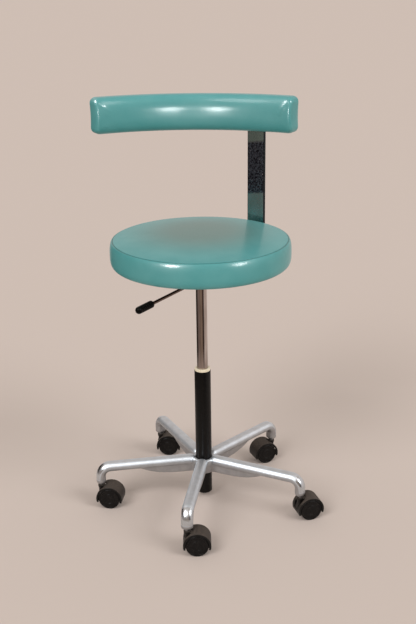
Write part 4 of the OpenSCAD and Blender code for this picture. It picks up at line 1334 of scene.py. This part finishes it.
def room_in_reflections(owner, place, near, far, pale):
    """Shows the dim room round the cloth in reflections alone, from its left back to its right front."""
    turned_place = add_node(owner, "Mapping", {"Vector": place, "Rotation": (0, 0, ROOM_TURN)})
    angle = add_node(owner, "TexGradient", (turned_place,), "Fac", gradient_type="RADIAL")
    room = add_node(owner, "ValToRGB", (angle,))
    stops = room.node.color_ramp.elements
    while len(stops) < len(ROOM_STOPS):
        stops.new(0.5)
    for stop, (position, colour) in zip(stops, ROOM_STOPS):
        stop.position = position
        stop.color = linear(colour)
    split = add_node(owner, "SeparateXYZ", (place,)).node.outputs
    flat = add_node(owner, "CombineXYZ", (split["X"], split["Y"]))
    away = add_node(owner, "VectorMath", (flat,), "Value", operation="LENGTH")
    beyond = add_node(owner, "MapRange", (away, near, far))
    reflected = add_node(owner, "LightPath", output="Is Glossy Ray")
    share = add_node(owner, "Math", (beyond, reflected), operation="MULTIPLY")
    return blended(owner, share, 0, 1, pale, room)


def build_stage(settings):
    """Pale floor that runs past the horizon, soft studio light and the photograph's camera."""
    floor_bm = bmesh.new()
    bmesh.ops.create_grid(floor_bm, x_segments=1, y_segments=1, size=FLOOR_HALF)
    floor = put_in_scene("studio_floor", mesh_of(floor_bm, "studio_floor"))
    material, shader = new_material("pale_floor_cloth")
    place = add_node(material, "TexCoord", output="Object")
    set_sockets(shader, {
        "Base Color": room_in_reflections(material, place, *FLOOR_ROOM, settings.floor),
        "Roughness": 0.9,
        "Specular IOR Level": 0,
    })
    floor.data.materials.append(material)

    world = bpy.data.worlds.new("pale_surround")
    world.use_nodes = True
    bpy.context.scene.world = world
    direction = add_node(world, "TexCoord", output="Generated")
    rays = add_node(world, "LightPath").node.outputs
    seen = add_node(world, "Math", (rays["Is Camera Ray"], rays["Is Glossy Ray"]), operation="ADD")
    shown = add_node(world, "Math", (seen, rays["Is Transmission Ray"]), operation="ADD")
    pale = blended(world, shown, 0, 1, linear("#F3EDE6"), linear("#D0C0B6"))
    set_sockets(world.node_tree.nodes["Background"], {
        "Color": room_in_reflections(world, direction, *SKY_ROOM, pale),
        "Strength": add_node(world, "MapRange", (shown, 0, 1, settings.sky, 1)),
    })

    add_sun("left_soft_light", 233, 39, settings.key)
    add_sun("right_soft_light", 327, 37, settings.fill)
    for number, (piece, place, radius, brightness) in enumerate(GLINTS):
        bulb = bpy.data.lights.new(f"reflected_lamp_{number}", "POINT")
        bulb.shadow_soft_size = radius * MM
        bulb.energy = settings.glint * brightness * (FULL_TURN * (radius * MM)) ** 2
        lamp = put_in_scene(bulb.name, bulb)
        lamp.location = [distance * MM for distance in place]
        shown_on = bpy.data.collections.new(f"{bulb.name}_pieces")
        shown_on.objects.link(bpy.data.objects[piece])
        lamp.light_linking.receiver_collection = shown_on
        lamp.visible_diffuse = False
        lamp.visible_camera = False

    lens = bpy.data.cameras.new("photo_camera")
    lens.sensor_fit = "AUTO"
    lens.sensor_width = CAMERA_SENSOR
    lens.lens = FOCAL_PX / FRAME_HEIGHT_PX * CAMERA_SENSOR
    lens.clip_end = 4 * FLOOR_HALF
    camera = put_in_scene("photo_camera", lens)
    camera.location = (0, -CAMERA_BACK, CAMERA_HEIGHT)
    forward = Vector((
        math.sin(CAMERA_YAW) * math.cos(CAMERA_PITCH),
        math.cos(CAMERA_YAW) * math.cos(CAMERA_PITCH),
        -math.sin(CAMERA_PITCH),
    ))
    right = Vector((math.cos(CAMERA_YAW), -math.sin(CAMERA_YAW), 0))
    level = Matrix((right, right.cross(forward), -forward)).transposed()
    camera.rotation_euler = (level @ Matrix.Rotation(CAMERA_ROLL, 3, "Z")).to_euler()
    bpy.context.scene.camera = camera
    bpy.context.scene.view_settings.view_transform = "Standard"


class STOOL_OT_stage(bpy.types.Operator):
    """Floor, soft light and camera"""

    bl_idname = "stool.stage"
    bl_label = "Stage"

    def execute(self, context):
        build_stage(context.scene.stool_stage)
        return {"FINISHED"}


OPERATORS = (
    STOOL_OT_star_base,
    STOOL_OT_column,
    STOOL_OT_casters,
    STOOL_OT_seat,
    STOOL_OT_pad,
    STOOL_OT_support_bar,
    STOOL_OT_lever,
    STOOL_OT_hardware,
    STOOL_OT_stage,
)


class STOOL_PT_parts(bpy.types.Panel):
    """Lists the stool's parts in the sidebar"""

    bl_idname = "STOOL_PT_parts"
    bl_label = "Medical stool"
    bl_space_type = "VIEW_3D"
    bl_region_type = "UI"
    bl_category = "Stool"

    def draw(self, context):
        for operator in OPERATORS:
            self.layout.operator(operator.bl_idname)


SETTINGS = {
    "stool_base": StoolBaseSettings,
    "stool_column": StoolColumnSettings,
    "stool_casters": StoolCasterSettings,
    "stool_seat": StoolSeatSettings,
    "stool_pad": StoolPadSettings,
    "stool_bar": StoolBarSettings,
    "stool_lever": StoolLeverSettings,
    "stool_stage": StoolStageSettings,
}


def register():
    """Registers the settings, the operators and the panel."""
    for name, group in SETTINGS.items():
        bpy.utils.register_class(group)
        setattr(bpy.types.Scene, name, PointerProperty(type=group))
    for operator in OPERATORS:
        bpy.utils.register_class(operator)
    bpy.utils.register_class(STOOL_PT_parts)


def unregister():
    """Takes the panel, the operators and the settings away again."""
    bpy.utils.unregister_class(STOOL_PT_parts)
    for operator in reversed(OPERATORS):
        bpy.utils.unregister_class(operator)
    for name, group in SETTINGS.items():
        delattr(bpy.types.Scene, name)
        bpy.utils.unregister_class(group)


def main():
    """Builds every part in order."""
    register()
    for operator in OPERATORS:
        family, action = operator.bl_idname.split(".")
        getattr(getattr(bpy.ops, family), action)()


if __name__ == "__main__":
    main()
